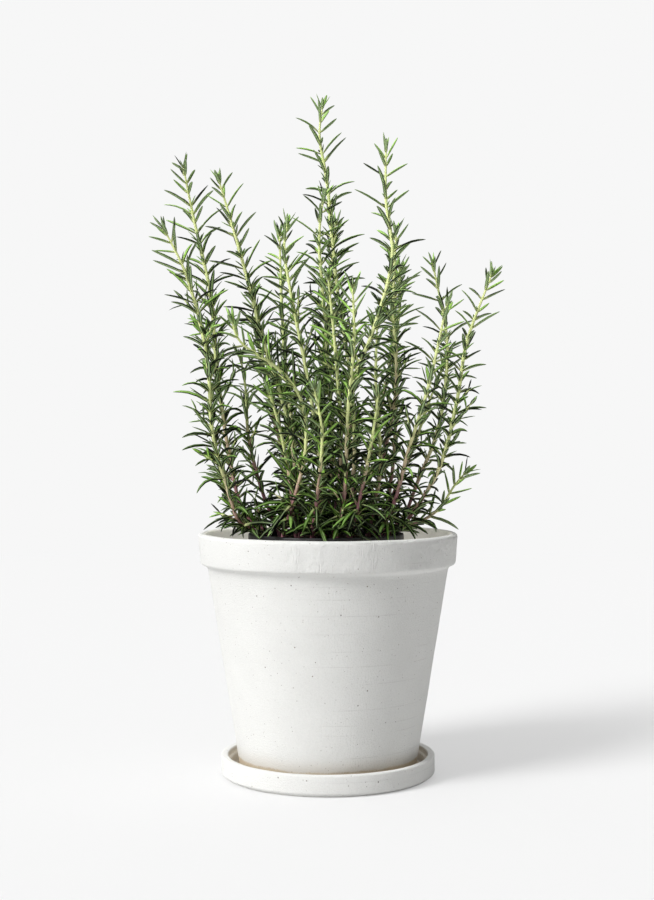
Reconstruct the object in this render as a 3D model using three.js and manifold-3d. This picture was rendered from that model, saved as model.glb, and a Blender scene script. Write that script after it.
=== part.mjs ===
// Potted rosemary: a bush of leafy stems rooted in soil, in a black nursery pot that stands
// inside a white ceramic pot on its saucer. Millimetres, +Z up. The origin is the middle of
// the saucer's flat underside, and the front of the bush faces -Y.

import * as THREE from 'three';
import { mergeVertices } from 'three/addons/utils/BufferGeometryUtils.js';
import Module from 'manifold-3d';

const wasm = await Module();
wasm.setup();
const { lerp, clamp } = THREE.MathUtils;

// Driving dimensions

const GAP = 0.3;

const POT_RIM_RADIUS = 90;
const POT_TOP = 167.5;
const POT_BODY_TOP_RADIUS = 83.2;
const POT_FOOT_RADIUS = 61;
const POT_WALL = 5.7;
const POT_FLOOR = 8;
const RIM_BAND_HEIGHT = 20.5;
const RIM_COVE_HEIGHT = 4.5;
const DRAIN_HOLE_RADIUS = 10;
const FOOT_RING_WIDTH = 8;
const FOOT_RING_HEIGHT = 2.5;

const SAUCER_RADIUS = 74;
const SAUCER_HEIGHT = 14.5;
const SAUCER_FLOOR = 4.5;
const SAUCER_WALL = 4.8;
const SAUCER_LEDGE_DROP = 4;
const SAUCER_LEDGE_WIDTH = 1.5;

const NURSERY_CENTRE_X = -1.4;
const NURSERY_LIP_RADIUS = 54;
const NURSERY_TOP = 167;
const NURSERY_TOP_RADIUS = 52.3;
const NURSERY_FOOT_RADIUS = 41;
const NURSERY_WALL = 1.2;
const NURSERY_LIP_HEIGHT = 4;
const NURSERY_HOLE_RADIUS = 4;
const NURSERY_HOLE_CIRCLE = 26;
const NURSERY_HOLES = 6;
const NURSERY_HOLE_SIDES = 6;

const SOIL_EDGE_TOP = 162.5;
const SOIL_CROWN = 164.5;

const STEM_TIP_RADIUS = 0.8;
const STEM_BASE_RADIUS = 1.5;
const STEM_TAPER_LENGTH = 280;
const STEM_DEPTH_IN_SOIL = 25;
const STEM_STEP = 20;
const BARE_FOOT = 8;

const FIRST_PAIR = 2.4;
const FIRST_STEP = 4;
const STEP_GROWTH = 1.32;
const LONGEST_STEP = 15.2;

const LEAF_LENGTH = 23;
const LEAF_LENGTH_SHORTEST = 0.77;
const LEAF_LENGTH_SPREAD = 0.34;
const LEAF_LENGTH_AT_TIP = 7;
const LEAF_LENGTH_GROWTH = 13;
const LEAF_HALF_WIDTH = 1.05;
const LEAF_THICKNESS = 1;
const LEAF_ROOT_HEIGHT = 1.5;
const LEAF_DROOP = 0.35;
const YOUNG_LENGTH = 16;
const OLD_LENGTH = 170;
const TURN_SPREAD = 0.7;

// Angles in radians that a leaf makes with its stem: young at the tip, grown, and old low down

const YOUNG_ANGLE = 0.36;
const GROWN_ANGLE = 0.85;
const OLD_ANGLE = 1.1;
const ANGLE_SPREAD = 0.35;
const YOUNG_BEND = 0.05;
const OLD_BEND = 0.6;
const BEND_SPREAD = 0.4;

const CLEARANCE_BAR_LENGTH = 8;
const CLEARANCE_SPARE = 0.1;
const LEAF_NECK = 0.25;

const ROUND_SIDES = 44;
const SMALL_ROUND_SIDES = 32;

const saucerFloorTop = SAUCER_FLOOR;
const potBottom = saucerFloorTop + GAP;
const potFloorTop = potBottom + POT_FLOOR;
const nurseryBottom = potFloorTop + GAP;
const bandBottom = POT_TOP - RIM_BAND_HEIGHT;
const bodyTop = bandBottom - RIM_COVE_HEIGHT;
const lowestLeaf = POT_TOP + 1.5;

// Routes of the stems above the soil, each from where it leaves the soil to its growing tip

const STEM_ROUTES = [
  // Left side of the bush
  [[-45, -11], [-52, -13, 170.5], [-61, -16, 176], [-67, -20, 194], [-78, -24, 234], [-82, -27, 289],
    [-96, -30, 344], [-111, -30, 375]],
  [[-42, 13], [-50, 15, 171], [-60, 17, 182], [-69, 19, 216], [-79, 22, 285], [-83, 22, 333],
    [-96, 21, 393], [-102, 18, 424]],
  [[-20, 5], [-22, 4, 203], [-28, 2, 244], [-44, -2, 298], [-62, -6, 366], [-75, -8, 410]],
  [[-18, 26], [-21, 34, 202], [-31, 42, 289], [-34, 46, 343], [-35, 48, 381]],
  [[-10, -12], [-5, -14, 200], [-11, -14, 257], [-25, -13, 330], [-30, -12, 363], [-28, -12, 380]],
  [[-31, -30], [-22, -35, 195], [-15, -40, 225], [-18, -45, 259], [-32, -50, 278], [-58, -59, 297],
    [-63, -62, 310]],
  [[-35, 25], [-46, 29, 192], [-57, 33, 234], [-59, 36, 267], [-63, 38, 292]],
  // Middle of the bush
  [[6, 16], [13, 20, 217], [17, 22, 261], [6, 25, 343], [-1, 26, 417], [-6, 25, 447], [-4, 24, 468]],
  [[-1, 3], [3, -1, 224], [-1, -12, 301], [-6, -18, 370], [-3, -20, 398]],
  [[3, -11], [9, -20, 225], [5, -36, 291], [0, -44, 340]],
  [[6, -38], [11, -41, 196], [13, -50, 248], [17, -58, 298], [16, -65, 333]],
  [[14, -25], [18, -30, 229], [17, -34, 271], [28, -36, 299], [43, -34, 354], [39, -30, 393],
    [39, -28, 428]],
  [[29, 10], [37, 13, 210], [48, 15, 267], [46, 16, 324], [48, 16, 378]],
  [[27, -8], [36, -6, 210], [33, -5, 269], [34, -3, 314]],
  // Right side of the bush
  [[37, 23], [46, 31, 209], [49, 41, 267], [48, 49, 324], [53, 52, 356]],
  [[41, 13], [51, 16, 173], [64, 22, 203], [79, 31, 241], [86, 42, 300], [76, 46, 359]],
  [[35, -23], [46, -27, 193], [53, -32, 221], [67, -38, 267], [79, -45, 323]],
  [[42, -7], [50, -8, 170.5], [60, -8, 184], [77, -8, 213], [90, -8, 265], [95, -7, 297],
    [113, -5, 346]],
  [[43, 3], [51, 5, 171], [64, 6, 174.5], [77, 6, 183], [89, 4, 201], [96, 4, 209]],
  // Back of the bush
  [[-7, 38], [-3, 50, 216], [-3, 64, 279], [1, 74, 342], [6, 80, 393]],
  [[17, 37], [31, 49, 221], [44, 61, 279], [53, 72, 327], [53, 80, 361]],
  [[-21, 37], [-31, 48, 213], [-44, 58, 268], [-53, 67, 317], [-54, 70, 340]],
  [[33, 32], [58, 45, 216], [73, 54, 257], [85, 61, 286]],
  // Short stems low in front
  [[15, -35], [24, -41, 205], [30, -51, 239], [33, -58, 262]],
  [[-22, -14], [-27, -21, 211], [-34, -31, 245], [-40, -38, 265]],
  [[-11, -34], [-6, -47, 205], [-4, -59, 238], [-9, -66, 266]],
];

// Colours and finishes

const CERAMIC = { color: 0xecebe8, roughness: 0.85, metalness: 0 };
const BLACK_PLASTIC = { color: 0x1c1c1e, roughness: 0.5, metalness: 0 };
const SOIL = { color: 0x3b2a20, roughness: 1, metalness: 0 };
const FOLIAGE = { color: 0x55703c, roughness: 0.5, metalness: 0 };

// Solids and meshes

function weld(geometry) {
  const bare = geometry.index ? geometry.clone() : geometry;
  bare.deleteAttribute('normal');
  bare.deleteAttribute('uv');
  const welded = mergeVertices(bare, 1e-4);
  const corners = welded.index.array;
  const kept = [];
  for (let i = 0; i < corners.length; i += 3) {
    const [a, b, c] = corners.slice(i, i + 3);
    if (a !== b && b !== c && c !== a) kept.push(a, b, c);
  }
  welded.setIndex(kept);
  return welded;
}

function toSolid(geometry) {
  const welded = weld(geometry);
  return new wasm.Manifold(new wasm.Mesh({
    numProp: 3,
    vertProperties: new Float32Array(welded.attributes.position.array),
    triVerts: new Uint32Array(welded.index.array),
  }));
}

function toGeometry(solid) {
  const { vertProperties, triVerts } = solid.getMesh();
  const geometry = new THREE.BufferGeometry();
  geometry.setAttribute('position', new THREE.BufferAttribute(vertProperties, 3));
  geometry.setIndex(new THREE.BufferAttribute(triVerts, 1));
  geometry.computeVertexNormals();
  return geometry;
}

function turned(outline, sides = ROUND_SIDES) {
  const points = outline.map(([radius, height]) => new THREE.Vector2(radius, height));
  return new THREE.LatheGeometry(points, sides).rotateX(Math.PI / 2);
}

function upright(radius, bottom, top, sides) {
  const height = top - bottom;
  const geometry = new THREE.CylinderGeometry(radius, radius, height, sides);
  return geometry.rotateX(Math.PI / 2).translate(0, 0, bottom + height / 2);
}

function addPart(group, name, geometry, finish) {
  const material = new THREE.MeshStandardMaterial({ ...finish, flatShading: true });
  const mesh = new THREE.Mesh(geometry, material);
  mesh.name = name;
  group.add(mesh);
}

// A repeatable draw between 0 and 1 from whole-number keys

function draw(...keys) {
  let hash = 2166136261;
  for (const key of keys) {
    hash = Math.imul(hash ^ (key + 1), 16777619);
    hash ^= hash >>> 13;
    hash = Math.imul(hash, 0x5bd1e995);
    hash ^= hash >>> 15;
  }
  return (hash >>> 0) / 4294967296;
}

// Saucer

function saucerGeometry() {
  const inner = SAUCER_RADIUS - SAUCER_WALL;
  const ledge = SAUCER_HEIGHT - SAUCER_LEDGE_DROP;
  const ledgeRadius = inner - SAUCER_LEDGE_WIDTH;
  return turned([
    [0, 0],
    [SAUCER_RADIUS - 3, 0],
    [SAUCER_RADIUS - 2, 1.2],
    [SAUCER_RADIUS, 2.4],
    [SAUCER_RADIUS, SAUCER_HEIGHT - 0.9],
    [SAUCER_RADIUS - 0.9, SAUCER_HEIGHT],
    [inner + 0.7, SAUCER_HEIGHT],
    [inner, SAUCER_HEIGHT - 0.7],
    [inner - 0.2, ledge],
    [ledgeRadius, ledge - 0.8],
    [ledgeRadius - 1.5, SAUCER_FLOOR],
    [0, SAUCER_FLOOR],
  ]);
}

// Ceramic pot

function potOuterRadius(z) {
  const share = (z - potBottom) / (bodyTop - potBottom);
  return lerp(POT_FOOT_RADIUS, POT_BODY_TOP_RADIUS, share);
}

function potGeometry() {
  const footInner = POT_FOOT_RADIUS - FOOT_RING_WIDTH;
  const recess = potBottom + FOOT_RING_HEIGHT;
  const cornerTop = potFloorTop + 1.5;
  return turned([
    [DRAIN_HOLE_RADIUS, recess],
    [footInner - 1.5, recess],
    [footInner, potBottom],
    [POT_FOOT_RADIUS - 1.2, potBottom],
    [potOuterRadius(potBottom + 1.5), potBottom + 1.5],
    [POT_BODY_TOP_RADIUS, bodyTop],
    [POT_BODY_TOP_RADIUS + 0.8, bandBottom - 2.6],
    [POT_RIM_RADIUS - 2.4, bandBottom - 0.9],
    [POT_RIM_RADIUS - 1.3, bandBottom + 0.6],
    [POT_RIM_RADIUS, POT_TOP - 2.4],
    [POT_RIM_RADIUS - 0.7, POT_TOP - 0.7],
    [POT_RIM_RADIUS - 2.4, POT_TOP],
    [POT_RIM_RADIUS - 4.2, POT_TOP - 0.2],
    [POT_RIM_RADIUS - 5.4, POT_TOP - 1.4],
    [POT_BODY_TOP_RADIUS - POT_WALL, bodyTop],
    [potOuterRadius(cornerTop) - POT_WALL - 1.5, cornerTop],
    [potOuterRadius(cornerTop) - POT_WALL - 2.8, potFloorTop],
    [DRAIN_HOLE_RADIUS, potFloorTop],
    [DRAIN_HOLE_RADIUS, recess],
  ]);
}

// Nursery pot

function nurseryInnerRadius(z) {
  const share = (z - nurseryBottom) / (NURSERY_TOP - nurseryBottom);
  return lerp(NURSERY_FOOT_RADIUS, NURSERY_TOP_RADIUS, share) - NURSERY_WALL;
}

function nurseryGeometry() {
  const floorTop = nurseryBottom + NURSERY_WALL;
  const lipBottom = NURSERY_TOP - NURSERY_LIP_HEIGHT;
  const body = toSolid(turned([
    [0, nurseryBottom],
    [NURSERY_FOOT_RADIUS - 1, nurseryBottom],
    [NURSERY_FOOT_RADIUS, nurseryBottom + 1],
    [nurseryInnerRadius(lipBottom) + NURSERY_WALL, lipBottom],
    [NURSERY_LIP_RADIUS - 0.3, lipBottom],
    [NURSERY_LIP_RADIUS, NURSERY_TOP - 0.8],
    [NURSERY_LIP_RADIUS - 0.8, NURSERY_TOP],
    [nurseryInnerRadius(NURSERY_TOP), NURSERY_TOP],
    [nurseryInnerRadius(floorTop), floorTop],
    [0, floorTop],
  ], SMALL_ROUND_SIDES));
  let cut = body;
  for (let i = 0; i < NURSERY_HOLES; i++) {
    const turn = (i / NURSERY_HOLES) * 2 * Math.PI;
    const hole = upright(NURSERY_HOLE_RADIUS, nurseryBottom - 1, floorTop + 1, NURSERY_HOLE_SIDES);
    hole.translate(Math.cos(turn) * NURSERY_HOLE_CIRCLE, Math.sin(turn) * NURSERY_HOLE_CIRCLE, 0);
    cut = cut.subtract(toSolid(hole));
  }
  return toGeometry(cut).translate(NURSERY_CENTRE_X, 0, 0);
}

// Stems

const STEM_BOTTOM = SOIL_EDGE_TOP - STEM_DEPTH_IN_SOIL;
const STEM_START = SOIL_CROWN + 0.7;
const UP = new THREE.Vector3(0, 0, 1);
const BACKWARD = new THREE.Vector3(0, 1, 0);

function stemCurve([[x, y], ...above]) {
  const free = above.map((point) => new THREE.Vector3(...point));
  return new THREE.CatmullRomCurve3([new THREE.Vector3(x, y, STEM_START), ...free]);
}

function stemRadius(distance) {
  return lerp(STEM_TIP_RADIUS, STEM_BASE_RADIUS, Math.min(distance / STEM_TAPER_LENGTH, 1));
}

function stemTurn(stem) {
  return draw(stem, 0) * Math.PI / 2;
}

// The middle of a stem at a distance from its tip, with directions along and across it

function stemSpot(curve, distance) {
  const share = 1 - distance / curve.getLength();
  const middle = curve.getPointAt(share);
  const along = curve.getTangentAt(share);
  const across = new THREE.Vector3().crossVectors(BACKWARD, along).normalize();
  const behind = new THREE.Vector3().crossVectors(along, across);
  const outward = (turn) => across.clone().multiplyScalar(Math.cos(turn))
    .addScaledVector(behind, Math.sin(turn));
  return { middle, along, outward };
}

// Distances from the tip at which a pair of leaves grows

function pairDistances(leafyLength) {
  const distances = [];
  let distance = FIRST_PAIR;
  let step = FIRST_STEP;
  while (distance < leafyLength) {
    distances.push(distance);
    distance += step;
    step = Math.min(step * STEP_GROWTH, LONGEST_STEP);
  }
  return distances;
}

// Leaves: opposite pairs, each pair turned a quarter from the next

function leafPoints(curve, stem, pair, side, distance, change) {
  const { middle, along, outward } = stemSpot(curve, distance);
  const chance = (key) => draw(stem, pair, side, key) - 0.5;
  const faceTurn = stemTurn(stem) + (pair % 2 + side * 2) * Math.PI / 2;
  const outwards = outward(faceTurn + chance(1) * TURN_SPREAD + change.turn);

  const young = Math.min(distance / YOUNG_LENGTH, 1);
  const old = Math.min(distance / OLD_LENGTH, 1);
  const grown = lerp(GROWN_ANGLE, OLD_ANGLE, old);
  const first = lerp(YOUNG_ANGLE, grown, young) + chance(2) * ANGLE_SPREAD + change.lift;
  const second = first + lerp(YOUNG_BEND, OLD_BEND, old) + chance(3) * BEND_SPREAD;
  const growth = 1 - Math.exp(-(distance + LEAF_LENGTH_AT_TIP) / LEAF_LENGTH_GROWTH);
  const luck = LEAF_LENGTH_SHORTEST + draw(stem, pair, side, 4) * LEAF_LENGTH_SPREAD;
  const reach = LEAF_LENGTH * growth * luck * change.size / 2;

  const heading = (angle) => along.clone().multiplyScalar(Math.cos(angle))
    .addScaledVector(outwards, Math.sin(angle));
  const root = middle.addScaledVector(outward(faceTurn), stemRadius(distance) * Math.SQRT1_2);
  const bend = root.clone().addScaledVector(heading(first), reach);
  const droop = heading(second).addScaledVector(UP, -LEAF_DROOP * old).normalize();
  const tip = bend.clone().addScaledVector(droop, reach);
  const edge = new THREE.Vector3().crossVectors(along, outwards).normalize();
  const face = new THREE.Vector3().crossVectors(tip.clone().sub(root), edge).normalize();
  return { root, bend, tip, edge, face };
}

// Clearance between bars of round section

function makeBar(start, end, radius, stem, isStem) {
  const middle = start.clone().lerp(end, 0.5);
  return { start, end, radius, stem, isStem, middle, half: start.distanceTo(end) / 2 };
}

function gapBetween(a, b) {
  const along = a.end.clone().sub(a.start);
  const other = b.end.clone().sub(b.start);
  const offset = a.start.clone().sub(b.start);
  const aa = along.dot(along);
  const bb = other.dot(other);
  const ab = along.dot(other);
  const ao = along.dot(offset);
  const bo = other.dot(offset);
  const spread = aa * bb - ab * ab;
  let s = spread > 1e-9 ? clamp((ab * bo - bb * ao) / spread, 0, 1) : 0;
  const t = clamp((ab * s + bo) / bb, 0, 1);
  s = clamp((ab * t - ao) / aa, 0, 1);
  const first = a.start.clone().addScaledVector(along, s);
  const second = b.start.clone().addScaledVector(other, t);
  return first.distanceTo(second) - a.radius - b.radius;
}

function isClear(bar, placed) {
  return placed.every((other) => {
    const sameStem = other.stem === bar.stem;
    if (sameStem && other.isStem) return true;
    const apart = other.middle.distanceTo(bar.middle) - other.half - bar.half;
    if (apart > other.radius + bar.radius + GAP) return true;
    return gapBetween(bar, other) > CLEARANCE_SPARE + (sameStem ? 0 : GAP);
  });
}

// Small turns, lifts and cuts tried in order until a leaf is clear of its neighbours

const CHANGES = [
  { turn: 0, lift: 0, size: 1 },
  { turn: 0.25, lift: 0, size: 1 },
  { turn: -0.25, lift: 0, size: 1 },
  { turn: 0.12, lift: -0.22, size: 0.95 },
  { turn: -0.12, lift: 0.22, size: 0.95 },
  { turn: 0.45, lift: -0.1, size: 0.85 },
  { turn: -0.45, lift: -0.1, size: 0.85 },
  { turn: 0, lift: -0.35, size: 0.8 },
  { turn: 0, lift: 0, size: 0.6 },
];

function placeLeaf(curve, stem, pair, side, distance, placed) {
  for (const change of CHANGES) {
    const leaf = leafPoints(curve, stem, pair, side, distance, change);
    const neck = leaf.root.clone().lerp(leaf.bend, LEAF_NECK);
    const bars = [
      makeBar(neck, leaf.bend, LEAF_HALF_WIDTH, stem, false),
      makeBar(leaf.bend, leaf.tip, LEAF_HALF_WIDTH, stem, false),
    ];
    const lowest = Math.min(leaf.bend.z, leaf.tip.z);
    if (lowest > lowestLeaf && bars.every((bar) => isClear(bar, placed))) {
      placed.push(...bars);
      return leaf;
    }
  }
  return null;
}

function stemBars(curve, stem) {
  const length = curve.getLength();
  const count = Math.round(length / CLEARANCE_BAR_LENGTH);
  const points = curve.getSpacedPoints(count);
  return points.slice(1).map((point, i) => {
    const radius = stemRadius(length * (1 - i / count));
    return makeBar(points[i], point, radius, stem, true);
  });
}

function leafKey(stem, pair, corner) {
  return `stem ${stem} pair ${pair} face ${corner}`;
}

// All leaves, placed pair by pair on every stem in turn

function placeLeaves(curves, pairs) {
  const placed = curves.flatMap(stemBars);
  const leaves = new Map();
  const mostPairs = Math.max(...pairs.map((distances) => distances.length));
  for (let pair = 0; pair < mostPairs; pair++) {
    curves.forEach((curve, stem) => {
      if (pair >= pairs[stem].length) return;
      for (const side of [0, 1]) {
        const leaf = placeLeaf(curve, stem, pair, side, pairs[stem][pair], placed);
        if (leaf) leaves.set(leafKey(stem, pair, pair % 2 + side * 2), leaf);
      }
    });
  }
  return leaves;
}

// One closed surface: a square bar with a three-sided blade raised from its face at each leaf

function leafyStemGeometry(curve, stem, distances, leaves) {
  const points = [];
  const corners = [];
  const addPoint = (point) => points.push(point) - 1;
  const addFace = (...indices) => corners.push(...indices);

  const addRing = ({ middle, outward }, radius) => [0, 1, 2, 3].map((corner) => {
    const turn = stemTurn(stem) + (corner - 0.5) * Math.PI / 2;
    return addPoint(middle.clone().addScaledVector(outward(turn), radius));
  });

  const addBlade = ([a, b, c, d], { bend, tip, edge, face }) => {
    const left = addPoint(bend.clone().addScaledVector(edge, -LEAF_HALF_WIDTH));
    const right = addPoint(bend.clone().addScaledVector(edge, LEAF_HALF_WIDTH));
    const keel = addPoint(bend.clone().addScaledVector(face, -LEAF_THICKNESS));
    const point = addPoint(tip);
    addFace(d, left, right, d, right, c, a, keel, left, a, left, d);
    addFace(b, c, right, b, right, keel, a, b, keel);
    addFace(left, point, right, keel, point, left, right, point, keel);
  };

  const length = curve.getLength();
  const stations = [{ distance: length }];
  const plain = (from, to) => {
    const count = Math.ceil((from - to) / STEM_STEP);
    for (let i = 1; i < count; i++) stations.push({ distance: from + (to - from) * i / count });
  };
  let last = length;
  for (let pair = distances.length - 1; pair >= 0; pair--) {
    plain(last, distances[pair] + LEAF_ROOT_HEIGHT / 2);
    stations.push({ distance: distances[pair] + LEAF_ROOT_HEIGHT / 2, pair });
    last = distances[pair] - LEAF_ROOT_HEIGHT / 2;
    stations.push({ distance: last });
  }

  const start = curve.getPointAt(0);
  const buried = {
    middle: start.clone().setZ(STEM_BOTTOM),
    outward: (turn) => new THREE.Vector3(Math.cos(turn), Math.sin(turn), 0),
  };
  const rings = [
    addRing(buried, STEM_BASE_RADIUS),
    ...stations.map(({ distance }) => addRing(stemSpot(curve, distance), stemRadius(distance))),
  ];
  stations.unshift({ distance: length + start.z - STEM_BOTTOM });
  const [first] = rings;
  addFace(first[0], first[3], first[2], first[0], first[2], first[1]);
  for (let i = 1; i < rings.length; i++) {
    for (let corner = 0; corner < 4; corner++) {
      const next = (corner + 1) % 4;
      const quad = [rings[i - 1][corner], rings[i - 1][next], rings[i][next], rings[i][corner]];
      const leaf = leaves.get(leafKey(stem, stations[i - 1].pair, corner));
      if (leaf) addBlade(quad, leaf);
      else addFace(quad[0], quad[1], quad[2], quad[0], quad[2], quad[3]);
    }
  }
  const top = rings[rings.length - 1];
  const bud = addPoint(curve.getPointAt(1));
  top.forEach((corner, i) => addFace(corner, top[(i + 1) % 4], bud));

  const geometry = new THREE.BufferGeometry().setFromPoints(points).setIndex(corners);
  geometry.computeVertexNormals();
  return geometry;
}

// Soil, with a plain square hole for each stem

function stemHole([[x, y]], stem) {
  const radius = STEM_BASE_RADIUS + GAP * Math.SQRT2;
  const hole = upright(radius, STEM_BOTTOM - GAP, SOIL_CROWN + 5, 4);
  return hole.rotateZ(stemTurn(stem) + Math.PI / 4).translate(x, y, 0);
}

function soilGeometry() {
  const bottom = nurseryBottom + NURSERY_WALL + GAP;
  const bottomRadius = nurseryInnerRadius(bottom) - GAP;
  const topRadius = nurseryInnerRadius(SOIL_EDGE_TOP) - GAP;
  const plug = turned([
    [0, bottom],
    [bottomRadius, bottom],
    [topRadius, SOIL_EDGE_TOP],
    [topRadius * 0.8, SOIL_EDGE_TOP + 1.2],
    [0, SOIL_CROWN],
  ], SMALL_ROUND_SIDES).translate(NURSERY_CENTRE_X, 0, 0);
  const holes = STEM_ROUTES.map((route, stem) => toSolid(stemHole(route, stem)));
  return toGeometry(toSolid(plug).subtract(wasm.Manifold.union(holes)));
}

// Assembly

const group = new THREE.Group();
addPart(group, 'saucer', saucerGeometry(), CERAMIC);
addPart(group, 'pot', potGeometry(), CERAMIC);
addPart(group, 'nursery_pot', nurseryGeometry(), BLACK_PLASTIC);
addPart(group, 'soil', soilGeometry(), SOIL);

const stemCurves = STEM_ROUTES.map(stemCurve);
const stemPairs = stemCurves.map((curve) => pairDistances(curve.getLength() - BARE_FOOT));
const stemLeaves = placeLeaves(stemCurves, stemPairs);
stemCurves.forEach((curve, stem) => {
  const number = String(stem + 1).padStart(2, '0');
  const geometry = leafyStemGeometry(curve, stem, stemPairs[stem], stemLeaves);
  addPart(group, `leafy_stem_${number}`, geometry, FOLIAGE);
});

export default group;
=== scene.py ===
"""Potted rosemary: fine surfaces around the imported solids, their materials, the light and the camera.

Everything is in metres. The pots and the soil are turned again from finer outlines. Every leafy stem is grown
again along its solid, with a large leaf where the solid has one, and with the smaller leaves between them.
"""

import math
import random

import bmesh
import bpy
import numpy as np
from bpy.props import FloatProperty, FloatVectorProperty, IntProperty, PointerProperty
from mathutils import Matrix, Vector, noise


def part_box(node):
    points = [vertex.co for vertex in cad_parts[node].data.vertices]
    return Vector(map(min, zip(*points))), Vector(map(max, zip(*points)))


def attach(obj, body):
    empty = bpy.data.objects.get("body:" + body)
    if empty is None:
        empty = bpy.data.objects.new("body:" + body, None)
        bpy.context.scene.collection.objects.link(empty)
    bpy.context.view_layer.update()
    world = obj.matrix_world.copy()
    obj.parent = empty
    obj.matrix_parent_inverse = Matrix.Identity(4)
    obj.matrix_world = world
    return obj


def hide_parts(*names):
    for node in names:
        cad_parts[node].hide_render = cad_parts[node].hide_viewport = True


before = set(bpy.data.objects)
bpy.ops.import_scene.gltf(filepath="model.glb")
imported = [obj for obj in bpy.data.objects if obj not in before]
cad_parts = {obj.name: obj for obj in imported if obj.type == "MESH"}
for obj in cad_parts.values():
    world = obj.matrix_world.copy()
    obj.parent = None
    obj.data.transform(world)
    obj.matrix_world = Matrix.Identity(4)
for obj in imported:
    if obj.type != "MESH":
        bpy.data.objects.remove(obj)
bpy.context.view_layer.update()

bl_info = {
    "name": "Potted rosemary",
    "version": (1, 0, 0),
    "blender": (4, 5, 0),
    "location": "3D View > Sidebar > Rosemary",
    "description": "Builds a rosemary bush in its pots, with its materials and a small studio",
    "category": "Add Mesh",
}

MM = 0.001
FULL_TURN = 2 * math.pi
UP = Vector((0, 0, 1))
BACKWARD = Vector((0, 1, 0))
BODY = "root"
STEM_NODES = sorted(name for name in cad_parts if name.startswith("leafy_stem_"))

# Radii of the growing pot and of the soil in it, at their feet
GROWING_FOOT = 41 * MM
SOIL_FOOT = 39.4 * MM
# How far the soil's crown stands over its edge
CROWN = 2 * MM
# Distances from the pot's axis, from and to, over which a mark on the clay fades or begins
POT_FOOT_EDGE = (64.5 * MM, 66.0 * MM)
STAIN_AND_SHADE_EDGE = (69.3 * MM, 69.8 * MM)
DISH_START = (66.5 * MM, 68.5 * MM)
DISH_EDGE = (71.0 * MM, 72.0 * MM)
RIM_EDGE = (84.5 * MM, 87.0 * MM)
# Places from left to right over which the combing grows stronger, and the turning lines with their painted
# shade grow stronger towards the shaded right
COMBED_SIDE = (-50 * MM, -5 * MM)
GROOVE_SHADE_SIDE = (-40 * MM, 25 * MM)
# What starts the random draws for the crumbs, and how a crumb is stretched or flattened each way
CRUMB_SEED = 11
CRUMB_STRETCH = ((0.6, 1.5), (0.6, 1.2), (0.4, 0.8))


# Settings that a user would change


def length(name, description, default):
    """A length in metres."""
    return FloatProperty(
        name=name, description=description, default=default, subtype="DISTANCE", unit="LENGTH"
    )


def colour(name, description, default):
    """A linear colour."""
    return FloatVectorProperty(
        name=name, description=description, default=default, size=3, min=0, max=1, subtype="COLOR"
    )


def share(name, description, default):
    """A plain number from 0 upwards."""
    return FloatProperty(name=name, description=description, default=default, min=0)


class PotSettings(bpy.types.PropertyGroup):
    """Sizes and colours of the ceramic pot and its saucer."""

    body_top_radius: length("Body radius", "Outside radius of the body under the rim band", 0.0832)
    foot_radius: length("Foot radius", "Outside radius at the foot", 0.061)
    wall: length("Wall", "Thickness of the wall", 0.0057)
    floor: length("Floor", "Thickness of the floor", 0.008)
    band_height: length("Rim band", "Height of the band under the rim", 0.0205)
    cove_height: length("Cove", "Height of the hollow that joins band and body", 0.0045)
    drain_radius: length("Drain hole", "Radius of the hole in the floor", 0.01)
    saucer_floor: length("Saucer floor", "Thickness of the saucer's floor", 0.0045)
    saucer_wall: length("Saucer wall", "Thickness of the saucer's wall", 0.0048)
    clay: colour("Clay", "Colour of the unglazed white clay", (0.8, 0.8, 0.778))
    # Painted bounce light: the clay inside the rim and in the saucer's dish is drawn lighter and warmer
    painted_inner_light: colour("Inner painted light", "Colour of the clay inside, over the growing pot", (0.97, 0.94, 0.86))
    # Colour of the water stain on the pot's foot, which also paints shade on the saucer's floor around it
    stain_and_shade: colour("Stain and shade", "Colour of the water stain at the foot", (0.5, 0.37, 0.2))
    speck: colour("Speck", "Colour of the iron specks", (0.14, 0.1, 0.075))


class GrowingPotSettings(bpy.types.PropertyGroup):
    """Sizes and colours of the plastic growing pot and its soil."""

    wall: length("Wall", "Thickness of the plastic", 0.0012)
    lip: length("Lip", "How far the lip stands out", 0.0017)
    lip_height: length("Lip height", "Height of the lip", 0.004)
    hole_radius: length("Hole", "Radius of each hole in the floor", 0.004)
    hole_circle: length("Hole circle", "Radius of the circle that the holes lie on", 0.026)
    holes: IntProperty(name="Holes", description="Number of holes in the floor", default=6, min=0)
    plastic: colour("Plastic", "Colour of the plastic", (0.012, 0.012, 0.013))
    soil_dark: colour("Dark soil", "Colour of the moist soil", (0.02, 0.012, 0.008))
    soil_light: colour("Light soil", "Colour of dry crumbs and bark", (0.11, 0.065, 0.038))
    grit: colour("Grit", "Colour of the pale mineral grains", (0.3, 0.24, 0.18))
    crumbs: IntProperty(name="Crumbs", description="Number of loose crumbs", default=420, min=0)


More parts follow.
